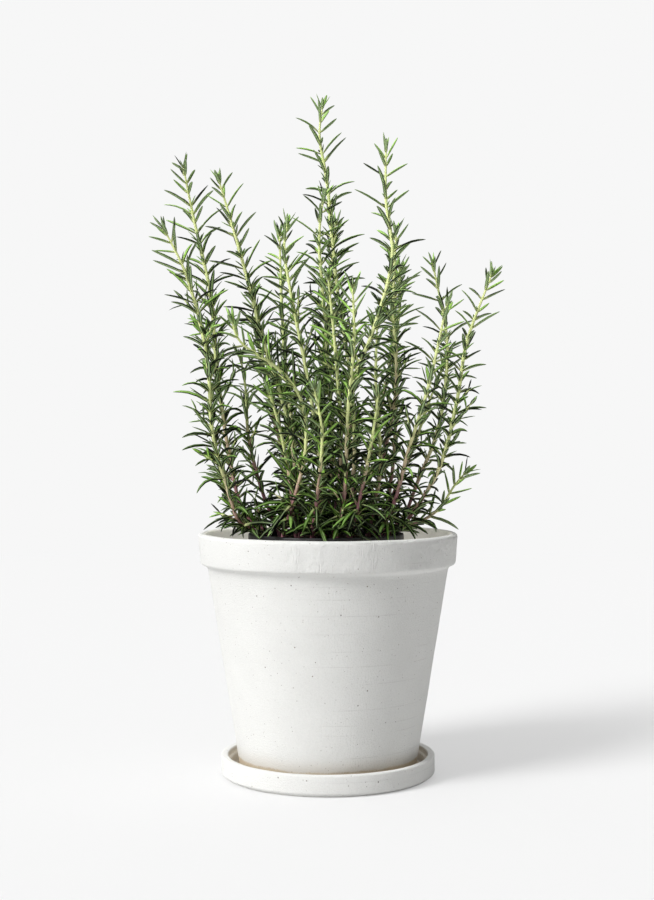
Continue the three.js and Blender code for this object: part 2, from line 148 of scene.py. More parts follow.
class FoliageSettings(bpy.types.PropertyGroup):
    """Sizes and colours of stems and leaves."""

    tip_radius: length("Tip radius", "Radius of a stem at its growing tip", 0.00045)
    stem_radius: length("Stem radius", "Radius of a grown stem", 0.0012)
    young_half_width: length("Young leaf half width", "Half the width of a leaf near the tip", 0.00118)
    old_half_width: length("Old leaf half width", "Half the width of a leaf near the soil", 0.0016)
    leaf_length: length("Leaf length", "Length of a grown leaf", 0.0225)
    small_leaf_length: length("Small leaf", "Length of the leaves in an old axil's tuft", 0.0115)
    young_spacing: length("Young spacing", "Longest way between two pairs of leaves near the tip", 0.0108)
    old_spacing: length("Old spacing", "Longest way between two pairs of leaves near the soil", 0.0082)
    shoot_length: length("Side shoot", "Length of a short side shoot low on the stem", 0.019)
    shoot_spacing: length("Shoot spacing", "Way up the stem between side shoots", 0.02)
    left_fullness: share("Left fullness", "How much fuller than the middle the bush is at its far left", 0.28)
    leaf_young: colour("Young leaf", "Upper side of a young leaf", (0.225, 0.4, 0.07))
    leaf_grown: colour("Grown leaf", "Upper side of a grown leaf", (0.055, 0.12, 0.012))
    # The underside colour, also used for the painted highlight on the rib and the painted sheen on pale
    # leaves
    leaf_under: colour("Underside", "Pale felted underside of a leaf", (0.43, 0.58, 0.28))
    stem_green: colour("Green stem", "Soft upper stem", (0.86, 0.93, 0.42))
    stem_tan: colour("Tan stem", "Stem that turns to wood", (0.86, 0.73, 0.46))
    stem_wood: colour("Woody stem", "Purple brown foot of the stem", (0.38, 0.16, 0.19))
    seed: IntProperty(name="Seed", description="Starts the random draws", default=7)


class StageSettings(bpy.types.PropertyGroup):
    """The camera, the light and the backdrop."""

    camera_distance: length("Distance", "From the pot's axis to the camera", 1.05)
    camera_height: length("Height", "Height of the camera above the floor", 0.2379)
    camera_side: length("Side", "Camera's place to the right of the pot's axis", -0.0007)
    camera_pitch: FloatProperty(
        name="Pitch", description="Downward tilt of the camera", default=math.radians(0.72), subtype="ANGLE"
    )
    lens: FloatProperty(name="Lens", description="Focal length", default=60.48, subtype="DISTANCE_CAMERA")
    backdrop: share("Backdrop", "Brightness of the unshaded floor and the backdrop in the picture", 0.93)
    floor_bounce: share("Floor bounce", "Share of its light that the floor throws back", 0.74)
    key_turn: FloatProperty(
        name="Key turn", description="How far left of the camera the key light stands",
        default=math.radians(54), subtype="ANGLE",
    )
    key_strength: share("Key light", "Strength of the soft key light", 1.0)
    top_strength: share("Top light", "Strength of the dome overhead", 1.0)
    back_strength: share("Back light", "Strength of the dome behind the plant", 0.9)
    rest_strength: share("Rest of the dome", "Strength of the dome elsewhere", 0.11)
    rim_fill: FloatProperty(
        name="Rim fill", description="Power of the small lamp that lifts the clay inside the rim",
        default=0.08, min=0.0, unit="POWER",
    )


# Meshes


def turned(outline, steps, longest_edge, centre_x=0.0):
    """A bmesh turned about the Z axis from corners of (radius, height, rounding)."""
    bm = bmesh.new()
    corners = [bm.verts.new((radius, 0, height)) for radius, height, _ in outline]
    for start, end in zip(corners, corners[1:]):
        bm.edges.new((start, end))
    if outline[0][0] > 0:
        bm.edges.new((corners[-1], corners[0]))
    for corner, (_, _, rounding) in zip(corners, outline):
        if rounding:
            bmesh.ops.bevel(
                bm, geom=[corner], offset=rounding, offset_type="OFFSET", segments=5, profile=0.5,
                affect="VERTICES", material=-1,
            )
    for edge in bm.edges[:]:
        cuts = int(edge.calc_length() / longest_edge)
        if cuts:
            bmesh.ops.subdivide_edges(bm, edges=[edge], cuts=cuts)
    bmesh.ops.spin(
        bm, geom=bm.verts[:] + bm.edges[:], cent=(0, 0, 0), axis=UP, angle=FULL_TURN, steps=steps,
        use_merge=True,
    )
    bmesh.ops.remove_doubles(bm, verts=bm.verts, dist=MM / 100)
    bmesh.ops.recalc_face_normals(bm, faces=bm.faces)
    bmesh.ops.translate(bm, verts=bm.verts, vec=(centre_x, 0, 0))
    return bm


def next_ring(bm, edges):
    """The corners and edges of a new ring, joined by faces to the ring of these edges."""
    geometry = bmesh.ops.extrude_edge_only(bm, edges=edges)["geom"]
    ring = [part for part in geometry if isinstance(part, bmesh.types.BMVert)]
    new_edges = [
        part for part in geometry
        if isinstance(part, bmesh.types.BMEdge) and all(vert in ring for vert in part.verts)
    ]
    return ring, new_edges


def wobble(bm, amount, size):
    """Moves the surface in and out by smooth noise, as hand finishing leaves it."""
    bm.normal_update()
    moves = [vert.normal * noise.noise(vert.co / size) * amount for vert in bm.verts]
    for vert, move in zip(bm.verts, moves):
        vert.co += move


def to_object(name, bm, materials):
    """A smooth object at the origin with this mesh."""
    mesh = bpy.data.meshes.new(name)
    bm.to_mesh(mesh)
    bm.free()
    for polygon in mesh.polygons:
        polygon.use_smooth = True
    for material in materials:
        mesh.materials.append(material)
    piece = bpy.data.objects.new(name, mesh)
    bpy.context.scene.collection.objects.link(piece)
    return piece


def dress(piece, slot, *nodes):
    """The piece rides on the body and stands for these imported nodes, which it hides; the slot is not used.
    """
    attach(piece, BODY)
    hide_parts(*nodes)


# Shader nodes


def feed(tree, node, inputs):
    """Sets a node's inputs to values, or joins them to sockets."""
    for name, value in inputs.items():
        if isinstance(value, bpy.types.NodeSocket):
            tree.links.new(value, node.inputs[name])
        else:
            node.inputs[name].default_value = value


def add(tree, kind, inputs=None, **settings):
    """A new node with these settings and inputs."""
    node = tree.nodes.new(kind)
    for name, value in settings.items():
        setattr(node, name, value)
    feed(tree, node, inputs or {})
    return node


def calculate(tree, operation, *values, clamp=False):
    """The value of a Math node."""
    inputs = dict(enumerate(values))
    return add(tree, "ShaderNodeMath", inputs, operation=operation, use_clamp=clamp).outputs[0]


def times(tree, value, *factors):
    """A value times one factor after the other."""
    for factor in factors:
        value = calculate(tree, "MULTIPLY", value, factor)
    return value


def times_plus(tree, value, factor, addend, clamp=False):
    """A value times a factor, and the addend to that."""
    return calculate(tree, "MULTIPLY_ADD", value, factor, addend, clamp=clamp)


def blend(tree, factor, first, second, mode="MIX"):
    """One colour changing to another."""
    inputs = {0: factor, 6: first, 7: second}
    return add(tree, "ShaderNodeMix", inputs, data_type="RGBA", blend_type=mode).outputs[2]


def shaded(tree, colour_in, lightness):
    """A colour made lighter or darker."""
    return blend(tree, 1.0, colour_in, lightness, "MULTIPLY")


def ease(tree, value, low, high, start=0.0, end=1.0):
    """A value eased from start to end while it goes from low to high."""
    inputs = {"Value": value, "From Min": low, "From Max": high, "To Min": start, "To Max": end}
    return add(tree, "ShaderNodeMapRange", inputs, interpolation_type="SMOOTHSTEP").outputs["Result"]


def attribute(tree, name):
    """A number stored on the mesh."""
    return add(tree, "ShaderNodeAttribute", attribute_name=name).outputs["Fac"]


def place_on(tree, scale=(1, 1, 1)):
    """The place on the piece in metres, stretched by the scale."""
    coordinates = add(tree, "ShaderNodeTexCoord").outputs["Object"]
    return add(tree, "ShaderNodeMapping", {"Vector": coordinates, "Scale": scale}).outputs["Vector"]


def coordinate(tree, axis):
    """One coordinate of the place on the piece in metres."""
    coordinates = add(tree, "ShaderNodeTexCoord").outputs["Object"]
    return add(tree, "ShaderNodeSeparateXYZ", {"Vector": coordinates}).outputs[axis]


def radius_of(tree):
    """The distance from the pot's axis in metres."""
    flat = place_on(tree, (1.0, 1.0, 0.0))
    return add(tree, "ShaderNodeVectorMath", {0: flat}, operation="LENGTH").outputs["Value"]


def rgba(value):
    """A colour with full alpha."""
    return (*value, 1.0)


WHITE = rgba((1.0, 1.0, 1.0))
BLACK = rgba((0.0, 0.0, 0.0))


def new_group(name, numbers, outputs):
    """A shader node group that takes a vector and these numbers, and its input and output nodes."""
    group = bpy.data.node_groups.new(name, "ShaderNodeTree")
    group.interface.new_socket(name="Vector", in_out="INPUT", socket_type="NodeSocketVector")
    for label, default in numbers.items():
        socket = group.interface.new_socket(name=label, in_out="INPUT", socket_type="NodeSocketFloat")
        socket.default_value = default
    for label in outputs:
        group.interface.new_socket(name=label, in_out="OUTPUT", socket_type="NodeSocketFloat")
    return group, group.nodes.new("NodeGroupInput").outputs, group.nodes.new("NodeGroupOutput")


def unevenness_group():
    """Mottled tone and fine grain of the sizes asked for, for every material of the object."""
    sizes = {"Patch size": 0.02, "Grain size": 0.001}
    group, given, result = new_group("Unevenness", sizes, ["Mottle", "Grain"])
    for label, size, detail in (("Mottle", "Patch size", 4.0), ("Grain", "Grain size", 3.0)):
        scale = calculate(group, "DIVIDE", 1.0, given[size])
        inputs = {"Vector": given["Vector"], "Scale": scale, "Detail": detail, "Roughness": 0.6}
        value = add(group, "ShaderNodeTexNoise", inputs).outputs["Fac"]
        group.links.new(value, result.inputs[label])
    return group


def specks_group():
    """Scattered round specks: a cell has one if its draw is under the share."""
    group, given, result = new_group("Specks", {"Spacing": 0.004, "Share": 0.2, "Size": 0.2}, ["Mask"])
    scale = calculate(group, "DIVIDE", 1.0, given["Spacing"])
    cells = add(group, "ShaderNodeTexVoronoi", {"Vector": given["Vector"], "Scale": scale}).outputs
    draw = add(group, "ShaderNodeSeparateColor", {"Color": cells["Color"]}).outputs
    chosen = calculate(group, "LESS_THAN", draw["Red"], given["Share"])
    radius = times(group, given["Size"], draw["Green"])
    spot = ease(group, cells["Distance"], times(group, radius, 0.6), radius, 1.0, 0.0)
    group.links.new(times(group, chosen, spot), result.inputs["Mask"])
    return group


def unevenness(tree, place, patch_size, grain_size):
    """The mottled tone and the fine grain of the shared group, in a material."""
    group = bpy.data.node_groups.get("Unevenness") or unevenness_group()
    inputs = {"Vector": place, "Patch size": patch_size, "Grain size": grain_size}
    outputs = add(tree, "ShaderNodeGroup", inputs, node_tree=group).outputs
    return outputs["Mottle"], outputs["Grain"]


def specks(tree, place, spacing, portion, size):
    """The mask of the shared group of specks, in a material."""
    group = bpy.data.node_groups.get("Specks") or specks_group()
    inputs = {"Vector": place, "Spacing": spacing, "Share": portion, "Size": size}
    return add(tree, "ShaderNodeGroup", inputs, node_tree=group).outputs["Mask"]


def new_material(name):
    """A material with its tree and an empty Principled shader."""
    material = bpy.data.materials.new(name)
    material.use_nodes = True
    tree = material.node_tree
    shader = next(node for node in tree.nodes if node.type == "BSDF_PRINCIPLED")
    return material, tree, shader


def bump(tree, height, distance, strength=1.0):
    """The normal of a surface with this relief."""
    inputs = {"Height": height, "Distance": distance, "Strength": strength}
    return add(tree, "ShaderNodeBump", inputs).outputs["Normal"]


# Materials


def clay_material(settings, pot_bottom, band_bottom):
    """Unglazed white clay with combed rim, turning lines with painted shade, iron specks, the marks of water
    with painted shade beside the foot, and painted bounce light inside the rim and in the saucer's dish.
    """
    material, tree, shader = new_material("white clay")
    here = place_on(tree)
    height = coordinate(tree, "Z")
    aside = coordinate(tree, "X")
    from_axis = radius_of(tree)
    mottle, grain = unevenness(tree, here, patch_size=0.03, grain_size=0.0009)

    # Iron specks, many small ones and a few large ones
    small_specks = specks(tree, here, spacing=0.0024, portion=0.55, size=0.2)
    large_specks = specks(tree, here, spacing=0.006, portion=0.7, size=0.105)
    speckled = times_plus(tree, small_specks, 0.55, large_specks, clamp=True)

    # Upright combing, deep on the rim band and faint on the body, and hardly any at the far left
    combed = {"Vector": place_on(tree, (1.0, 1.0, 0.05)), "Scale": 1400.0, "Detail": 1.0}
    comb = add(tree, "ShaderNodeTexNoise", combed).outputs["Fac"]
    on_band = ease(tree, height, band_bottom - 1 * MM, band_bottom + 1 * MM, 0.25, 1.0)
    combed_side = ease(tree, aside, *COMBED_SIDE, 0.15, 1.0)
    comb_depth = times(tree, comb, on_band, times(tree, ease(tree, mottle, 0.42, 0.56), combed_side))

    # Turning lines round the pot at uneven heights, weaker on the lit left; their darkening in the grooves is
    # painted shade
    wandering = {"W": times_plus(tree, mottle, 0.7 * MM, height), "Scale": 85.0}
    lines = add(
        tree, "ShaderNodeTexVoronoi", wandering, voronoi_dimensions="1D", feature="DISTANCE_TO_EDGE"
    ).outputs["Distance"]
    groove_patches_and_shade_side = times(tree, ease(tree, aside, *GROOVE_SHADE_SIDE, 0.25, 1.0), ease(tree, mottle, 0.46, 0.6))
    groove_and_shade = times(tree, ease(tree, lines, 0.004, 0.02, 1.0, 0.0), groove_patches_and_shade_side)

    tone = calculate(tree, "SUBTRACT", ease(tree, mottle, 0.25, 0.75, 0.96, 1.0), 0.08)
    # The turning lines darken the clay as painted shade in their grooves
    tone = times_plus(tree, groove_and_shade, -0.11, times_plus(tree, grain, 0.16, tone))
    clay = shaded(tree, rgba(settings.clay), tone)

    # The ragged mark of water at the pot's foot, and painted shade on the saucer's floor around it
    ragged = times_plus(tree, grain, -3 * MM, times_plus(tree, mottle, -5 * MM, height))
    waterline = ease(tree, ragged, pot_bottom + 4 * MM, pot_bottom + 6 * MM, 0.7, 0.13)
    fading = ease(tree, ragged, pot_bottom + 6 * MM, pot_bottom + 16 * MM, 1.0, 0.0)
    on_pot = ease(tree, from_axis, *POT_FOOT_EDGE, 1.0, 0.3)
    inner_side = times(tree, on_pot, ease(tree, from_axis, *STAIN_AND_SHADE_EDGE, 1.0, 0.0))
    foot_stain_and_shade = times(tree, waterline, fading, inner_side)
    clay = blend(tree, foot_stain_and_shade, clay, rgba(settings.stain_and_shade))

    # Painted bounce light: lighter, warmer clay inside the rim and in the saucer's dish
    over_band = ease(tree, height, band_bottom + 1 * MM, band_bottom + 4 * MM)
    in_rim = times(tree, ease(tree, from_axis, *RIM_EDGE, 1.0, 0.0), over_band)
    below_edge = ease(tree, height, pot_bottom + 6 * MM, pot_bottom + 8 * MM, 1.0, 0.0)
    in_wall = times(tree, below_edge, ease(tree, from_axis, *DISH_EDGE, 1.0, 0.0))
    in_dish = times(tree, ease(tree, from_axis, *DISH_START), in_wall, 0.75)
    inside = calculate(tree, "MAXIMUM", in_rim, in_dish)
    clay = blend(tree, inside, clay, rgba(settings.painted_inner_light))

    relief = times_plus(tree, groove_and_shade, -0.5, times_plus(tree, comb_depth, 2.3, grain))
    relief = times_plus(tree, speckled, -0.5, relief)
    feed(tree, shader, {
        "Base Color": blend(tree, times(tree, speckled, 0.85), clay, rgba(settings.speck)),
        "Specular IOR Level": 0.3,
        "Roughness": ease(tree, grain, 0.3, 0.7, 0.72, 0.9),
        "Normal": bump(tree, relief, distance=0.6 * MM, strength=0.8),
    })
    return material


def plastic_material(settings):
    """Black moulded plastic, slightly dusty."""
    material, tree, shader = new_material("black plastic")
    mottle, grain = unevenness(tree, place_on(tree), patch_size=0.012, grain_size=0.0004)
    dust = ease(tree, mottle, 0.5, 0.8, 0.0, 0.2)
    feed(tree, shader, {
        "Base Color": blend(tree, dust, rgba(settings.plastic), rgba(settings.soil_light)),
        "Roughness": ease(tree, mottle, 0.3, 0.7, 0.38, 0.62),
        "Normal": bump(tree, grain, distance=0.05 * MM, strength=0.6),
    })
    return material


def soil_material(settings):
    """Dark peat with paler crumbs and pale mineral grains."""
    material, tree, shader = new_material("potting soil")
    here = place_on(tree)
    mottle, grain = unevenness(tree, here, patch_size=0.004, grain_size=0.0009)
    dry = ease(tree, times_plus(tree, attribute(tree, "tint"), 0.6, mottle), 0.45, 1.1)
    earth = blend(tree, dry, rgba(settings.soil_dark), rgba(settings.soil_light))
    grains = specks(tree, here, spacing=0.003, portion=0.12, size=0.35)
    feed(tree, shader, {
        "Base Color": blend(tree, grains, earth, rgba(settings.grit)),
        "Roughness": 0.95,
        "Normal": bump(tree, grain, distance=0.8 * MM),
    })
    return material


def leaf_material(settings):
    """Glossy dark upper side, pale felted underside and a lighter midrib, with a painted highlight along the
    rib, painted sheen on some leaves and painted shade on the darkest leaves and the rolled margins.
    """
    material, tree, shader = new_material("rosemary leaf")
    mottle, grain = unevenness(tree, place_on(tree), patch_size=0.006, grain_size=0.0003)
    age = attribute(tree, "age")
    tint = attribute(tree, "tint")
    upper = ease(tree, attribute(tree, "upper"), 0.3, 0.62)
    under = rgba(settings.leaf_under)

    # Each leaf's own lightness, the darkest nearly black as painted shade; the pale rib, partly a painted
    # highlight; and some leaves pale all over as painted sheen
    green = blend(tree, age, rgba(settings.leaf_young), rgba(settings.leaf_grown))
    lightness = times_plus(tree, mottle, 0.3, ease(tree, tint, 0.2, 0.95, -0.1, 2.1))
    rib_and_highlight = ease(tree, attribute(tree, "rib_and_highlight"), 0.2, 0.9, 0.0, 0.45)
    pale = calculate(tree, "MAXIMUM", rib_and_highlight, ease(tree, tint, 0.8, 1.0, 0.0, 0.5))
    both = blend(tree, upper, under, blend(tree, pale, shaded(tree, green, lightness), under))

    # The yellow green base, and painted shade on the rolled margin of grown leaves
    base = ease(tree, attribute(tree, "base"), 0.0, 1.0, 0.0, 0.8)
    both = blend(tree, base, both, rgba(settings.stem_green))
    painted_margin_shade = ease(tree, attribute(tree, "painted_margin_shade"), 0.3, 0.85, 1.0, 0.05)
    painted_margin_shade = calculate(tree, "MAXIMUM", painted_margin_shade, times_plus(tree, age, -1.1, 0.6))

    smoother = ease(tree, mottle, 0.42, 0.6, -0.15, -0.55)
    feed(tree, shader, {
        "Base Color": shaded(tree, both, painted_margin_shade),
        "Specular IOR Level": 0.14,
        "Roughness": times_plus(tree, upper, smoother, 0.75),
        "Normal": bump(tree, grain, distance=0.02 * MM, strength=0.35),
    })
    return material


def stem_material(settings):
    """Soft green shoots that turn tan and then purple brown towards the soil."""
    material, tree, shader = new_material("rosemary stem")
    lengthways = place_on(tree, (1.0, 1.0, 0.25))
    mottle, grain = unevenness(tree, lengthways, patch_size=0.005, grain_size=0.0004)
    wood = times_plus(tree, mottle, 0.3, attribute(tree, "age"))
    soft = blend(tree, ease(tree, wood, 0.45, 0.75), rgba(settings.stem_green), rgba(settings.stem_tan))
    bark = blend(tree, ease(tree, wood, 0.62, 0.98), soft, rgba(settings.stem_wood))
    feed(tree, shader, {
        "Base Color": shaded(tree, bark, ease(tree, grain, 0.3, 0.7, 0.85, 1.05)),
        "Roughness": 0.6,
        "Normal": bump(tree, grain, distance=0.06 * MM),
    })
    return material


# Pots and soil


def saucer_outline(settings):
    """Corners of the saucer's section."""
    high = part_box("saucer")[1]
    inner = high.x - settings.saucer_wall
    ledge = high.z - 4 * MM
    ledge_radius = inner - 1.5 * MM
    return [
        (0, 0, 0),
        (high.x - 3 * MM, 0, 0.6 * MM),
        (high.x, 2.3 * MM, 0.9 * MM),
        (high.x, high.z, 1.1 * MM),
        (inner, high.z, 1.0 * MM),
        (inner - 0.2 * MM, ledge, 0.5 * MM),
        (ledge_radius, ledge - 0.8 * MM, 0.5 * MM),
        (ledge_radius - 1.5 * MM, settings.saucer_floor, 0.9 * MM),
        (0, settings.saucer_floor, 0),
    ]


def pot_outline(settings):
    """Corners of the ceramic pot's section, from the drain hole round the outside to the inside."""
    low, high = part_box("pot")
    rim, top, bottom = high.x, high.z, low.z
    band_bottom = top - settings.band_height
    body_top = band_bottom - settings.cove_height
    recess = bottom + 2.5 * MM
    floor_top = bottom + settings.floor
    foot_inner = settings.foot_radius - 8 * MM
    slope = (settings.body_top_radius - settings.foot_radius) / (body_top - bottom)
    inner_foot = settings.foot_radius + slope * settings.floor - settings.wall - 1.8 * MM
    return [
        (settings.drain_radius, recess, 1 * MM),
        (foot_inner - 1.5 * MM, recess, 0.8 * MM),
        (foot_inner, bottom, 0.6 * MM),
        (settings.foot_radius, bottom, 1.4 * MM),
        (settings.body_top_radius, body_top, 1.5 * MM),
        (settings.body_top_radius + 1.0 * MM, band_bottom - 2.2 * MM, 1.6 * MM),
        (rim - 1.6 * MM, band_bottom - 0.2 * MM, 1.2 * MM),
        (rim, top, 2.6 * MM),
        (rim - 6 * MM, top, 2.2 * MM),
        (settings.body_top_radius - settings.wall, body_top, 3 * MM),
        (inner_foot, floor_top, 3 * MM),
        (settings.drain_radius, floor_top, 1 * MM),
    ]


def growing_pot_outline(settings):
    """Corners of the growing pot's section."""
    low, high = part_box("nursery_pot")
    rim = (high.x - low.x) / 2
    top_radius = rim - settings.lip
    lip_bottom = high.z - settings.lip_height
    floor_top = low.z + settings.wall
    return [
        (0, low.z, 0),
        (GROWING_FOOT, low.z, 1 * MM),
        (top_radius - 0.2 * MM, lip_bottom, 0.3 * MM),
        (rim, lip_bottom, 0.4 * MM),
        (rim, high.z, 0.8 * MM),
        (top_radius - settings.wall, high.z, 0.3 * MM),
        (GROWING_FOOT - settings.wall, floor_top, 0.5 * MM),
        (0, floor_top, 0),
    ]


def soil_outline():
    """Corners of the soil's section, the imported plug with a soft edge."""
    low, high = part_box("soil")
    radius = (high.x - low.x) / 2
    edge_top = high.z - CROWN
    return [
        (0, low.z, 0),
        (SOIL_FOOT, low.z, 0),
        (radius, edge_top, 0.8 * MM),
        (radius * 0.8, edge_top + 1.2 * MM, 4 * MM),
        (0, high.z, 0),
    ]


def cut_holes(piece, cutters):
    """Cuts the cutters out of the piece for good, and removes them."""
    tools = bpy.data.collections.new("Hole cutters")
    for cutter in cutters:
        tools.objects.link(cutter)
    modifier = piece.modifiers.new("Holes", "BOOLEAN")
    modifier.operation = "DIFFERENCE"
    modifier.operand_type = "COLLECTION"
    modifier.collection = tools
    modifier.solver = "EXACT"
    evaluated = piece.evaluated_get(bpy.context.evaluated_depsgraph_get())
    mesh = bpy.data.meshes.new_from_object(evaluated)
    piece.modifiers.clear()
    piece.data = mesh
    for cutter in cutters:
        bpy.data.objects.remove(cutter)
    bpy.data.collections.remove(tools)


def hole_cutter(settings, turn, centre_x, height):
    """An upright round bar where a hole goes."""
    bm = bmesh.new()
    radius, circle = settings.hole_radius, settings.hole_circle
    bmesh.ops.create_cone(bm, cap_ends=True, segments=24, radius1=radius, radius2=radius, depth=6 * MM)
    place = (centre_x + math.cos(turn) * circle, math.sin(turn) * circle, height)
    bmesh.ops.translate(bm, verts=bm.verts, vec=place)
    return to_object("hole_cutter", bm, [])


def scatter_crumbs(bm, draws, count, centre_x, radius, surface):
    """Crumbs and chips lying on the soil, each a small rough lump."""
    tint = bm.verts.layers.float["tint"]
    for _ in range(count):
        turn = draws.uniform(0, FULL_TURN)
        reach = radius * math.sqrt(draws.random())
        size = draws.uniform(0.5, 1.7) * MM
        lump = bmesh.ops.create_icosphere(bm, subdivisions=1, radius=size)["verts"]
        shape = Matrix.Diagonal((*[draws.uniform(least, most) for least, most in CRUMB_STRETCH], 1))
        spin = Matrix.Rotation(draws.uniform(0, FULL_TURN), 4, "Z")
        tilt = Matrix.Rotation(draws.uniform(-0.7, 0.7), 4, "X")
        spot = Vector((centre_x + math.cos(turn) * reach, math.sin(turn) * reach, 0))
        spot.z = surface(spot.x, spot.y) + size * 0.2
        bmesh.ops.transform(bm, matrix=Matrix.Translation(spot) @ spin @ tilt @ shape, verts=lump)
        shade = draws.random()
        for vert in lump:
            vert.co += Vector(draws.uniform(-0.15, 0.15) * size for _ in range(3))
            vert[tint] = shade


# Leafy stems


# Least ways between the knots of a stem's route, and before its last knot
KNOT_SPACING = 3.5 * MM
LAST_KNOT_SPACING = 2 * MM


class Route:
    """A smooth way through the middles of a packed stem's rings, measured from its foot."""

    def __init__(self, knots):
        self.knots = knots
        self.places = [0.0]
        for start, end in zip(knots, knots[1:]):
            self.places.append(self.places[-1] + (end - start).length)
        self.slopes = [self.slope(index) for index in range(len(knots))]
        self.length = self.places[-1]

    def slope(self, index):
        """The direction at a knot, weighted towards the nearer neighbour."""
        if index == 0:
            return (self.knots[1] - self.knots[0]).normalized()
        if index == len(self.knots) - 1:
            return (self.knots[-1] - self.knots[-2]).normalized()
        before = self.places[index] - self.places[index - 1]
        after = self.places[index + 1] - self.places[index]
        incoming = (self.knots[index] - self.knots[index - 1]) / before
        outgoing = (self.knots[index + 1] - self.knots[index]) / after
        return (incoming * after + outgoing * before) / (before + after)

    def spot(self, place):
        """The middle of the stem at a place along it, and its direction there."""
        place = min(max(place, 0.0), self.length)
        index = 0
        while index < len(self.places) - 2 and self.places[index + 1] < place:
            index += 1
        span = self.places[index + 1] - self.places[index]
        t = (place - self.places[index]) / span
        start, end = self.knots[index], self.knots[index + 1]
        leave, arrive = self.slopes[index] * span, self.slopes[index + 1] * span
        middle = (
            start * (2 * t**3 - 3 * t**2 + 1)
            + leave * (t**3 - 2 * t**2 + t)
            + end * (3 * t**2 - 2 * t**3)
            + arrive * (t**3 - t**2)
        )
        along = (
            start * (6 * t**2 - 6 * t)
            + leave * (3 * t**2 - 4 * t + 1)
            + end * (6 * t - 6 * t**2)
            + arrive * (3 * t**2 - 2 * t)
        )
        return middle, along.normalized()


def outward(along, turn):
    """The direction straight out of a stem at a turn about it."""
    guide = UP if abs(along.y) > 0.9 else BACKWARD
    across = guide.cross(along).normalized()
    behind = along.cross(across)
    return across * math.cos(turn) + behind * math.sin(turn)


def middle_of(corners):
    """The middle of a set of corners, added up in an order that is the same in every run."""
    places = sorted(corner.co[:] for corner in corners)
    return sum((Vector(place) for place in places), Vector()) / len(places)


def read_stem(node):
    """The ring middles of a packed stem from foot to tip, and its leaves as (root, bend, tip, edge)."""
    bm = bmesh.new()
    bm.from_mesh(node.data)
    bmesh.ops.remove_doubles(bm, verts=bm.verts, dist=MM / 100)
    blades, leaves = set(), []
    for tip in [vert for vert in bm.verts if len(vert.link_edges) == 3]:
        corners = [edge.other_vert(tip) for edge in tip.link_edges]
        right = max(corners, key=lambda vert: len(vert.link_edges))
        left = max(corners, key=lambda vert: (vert.co - right.co).length)
        blade = {tip, *corners}
        quad = {edge.other_vert(corner) for corner in corners for edge in corner.link_edges} - blade
        bend = (left.co + right.co) / 2
        leaves.append((middle_of(quad), bend, tip.co.copy(), (right.co - left.co).normalized()))
        blades |= blade
    ring = set(sorted(set(bm.verts) - blades, key=lambda vert: vert.co.z)[:4])
    seen, middles = set(blades), []
    while ring:
        seen |= ring
        middles.append(middle_of(ring))
        ring = {edge.other_vert(vert) for vert in ring for edge in vert.link_edges} - seen
    bm.free()
    return middles, leaves


def stem_route(middles):
    """A route through ring middles that are well apart."""
    knots = [middles[0]]
    for middle in middles[1:-1]:
        if (middle - knots[-1]).length > KNOT_SPACING:
            knots.append(middle)
    if (middles[-1] - knots[-1]).length < LAST_KNOT_SPACING:
        knots.pop()
    return Route([*knots, middles[-1]])


# Corners of a leaf's section, from one side over the top and back underneath: half widths across and up,
# and how much the corner belongs to the upper side, the rib with its painted highlight, and the margin with
# its painted shade
LARGE_SECTION = [
    (1.0, 0.0, 0.55, 0.0, 1.0), (0.55, 0.5, 1.0, 0.0, 0.0), (0.0, 0.3, 1.0, 1.0, 0.0),
    (-0.55, 0.5, 1.0, 0.0, 0.0), (-1.0, 0.0, 0.55, 0.0, 1.0), (-0.7, -0.5, 0.12, 0.0, 0.9),
    (0.0, -0.2, 0.0, 0.0, 0.0), (0.7, -0.5, 0.12, 0.0, 0.9),
]
SMALL_SECTION = [
    (1.0, 0.0, 0.5, 0.0, 1.0), (0.4, 0.5, 1.0, 0.0, 0.1), (-0.4, 0.5, 1.0, 0.0, 0.1),
    (-1.0, 0.0, 0.5, 0.0, 1.0), (0.0, -0.45, 0.0, 0.0, 0.2),
]
# Stations along a leaf: share of its length and share of its width
LARGE_STATIONS = [
    (0.0, 0.42), (0.1, 0.86), (0.34, 1.0), (0.6, 0.96), (0.8, 0.76), (0.93, 0.46), (1.0, 0.12)
]
SMALL_STATIONS = [(0.0, 0.5), (0.35, 1.0), (0.75, 0.72), (1.0, 0.12)]
# How much of a leaf's length takes on the stem's colour
BASE_SHARE = 0.35
# Sides of a stalk and of a side shoot, way between a stalk's rings, and its swelling at a pair of leaves
STALK_SIDES = 8
SHOOT_SIDES = 5
STALK_STEP = 3 * MM
SWELLING = 0.22
SWELLING_REACH = 1.6 * MM
# How far up from the soil a stem is woody, in millimetres, behind the pot's axis and in front of it; the
# higher reach behind is partly painted shade
BACK_WOOD_AND_SHADE = (130, 230)
FRONT_WOOD = (90, 140)
# Ways down from a stem's tip over which leaves open, reach their full width, age and spread, tufts reach
# their size, and the stem thickens and can turn to wood
OPEN_FROM_TIP = 16 * MM
WIDE_FROM_TIP = 190 * MM
AGED_FROM_TIP = 180 * MM
SPREAD_FROM_TIP = 170 * MM
TUFTED_FROM_TIP = 130 * MM
THICK_FROM_TIP = 35 * MM
WOODY_FROM_TIP = 60 * MM
# Ways down from the tip at which axils begin to hold one, two and then up to three small leaves
ONE_IN_AXIL = 20 * MM
TWO_IN_AXIL = 50 * MM
THREE_IN_AXIL = 100 * MM
# Least way between two swellings, and the heights over the soil of the lowest pair and of the side shoots
NODE_SPACING = 2 * MM
LOWEST_PAIR = 3 * MM
LOWEST_SHOOT = 8 * MM
HIGHEST_SHOOT = 170 * MM
SHOOTLESS_TIP = 60 * MM
# Leaves stay over the soil within this radius, and between the next two they may hang between the pots' walls
SOIL_REACH = 47 * MM
GAP_START = 58 * MM
GAP_END = 73 * MM
GAP_DEPTH = 5 * MM
CLEARANCE = 1 * MM
# Low over the rim, further right than this, leaves are few
BARE_FROM = 44 * MM
BARE_HEIGHT = 50 * MM


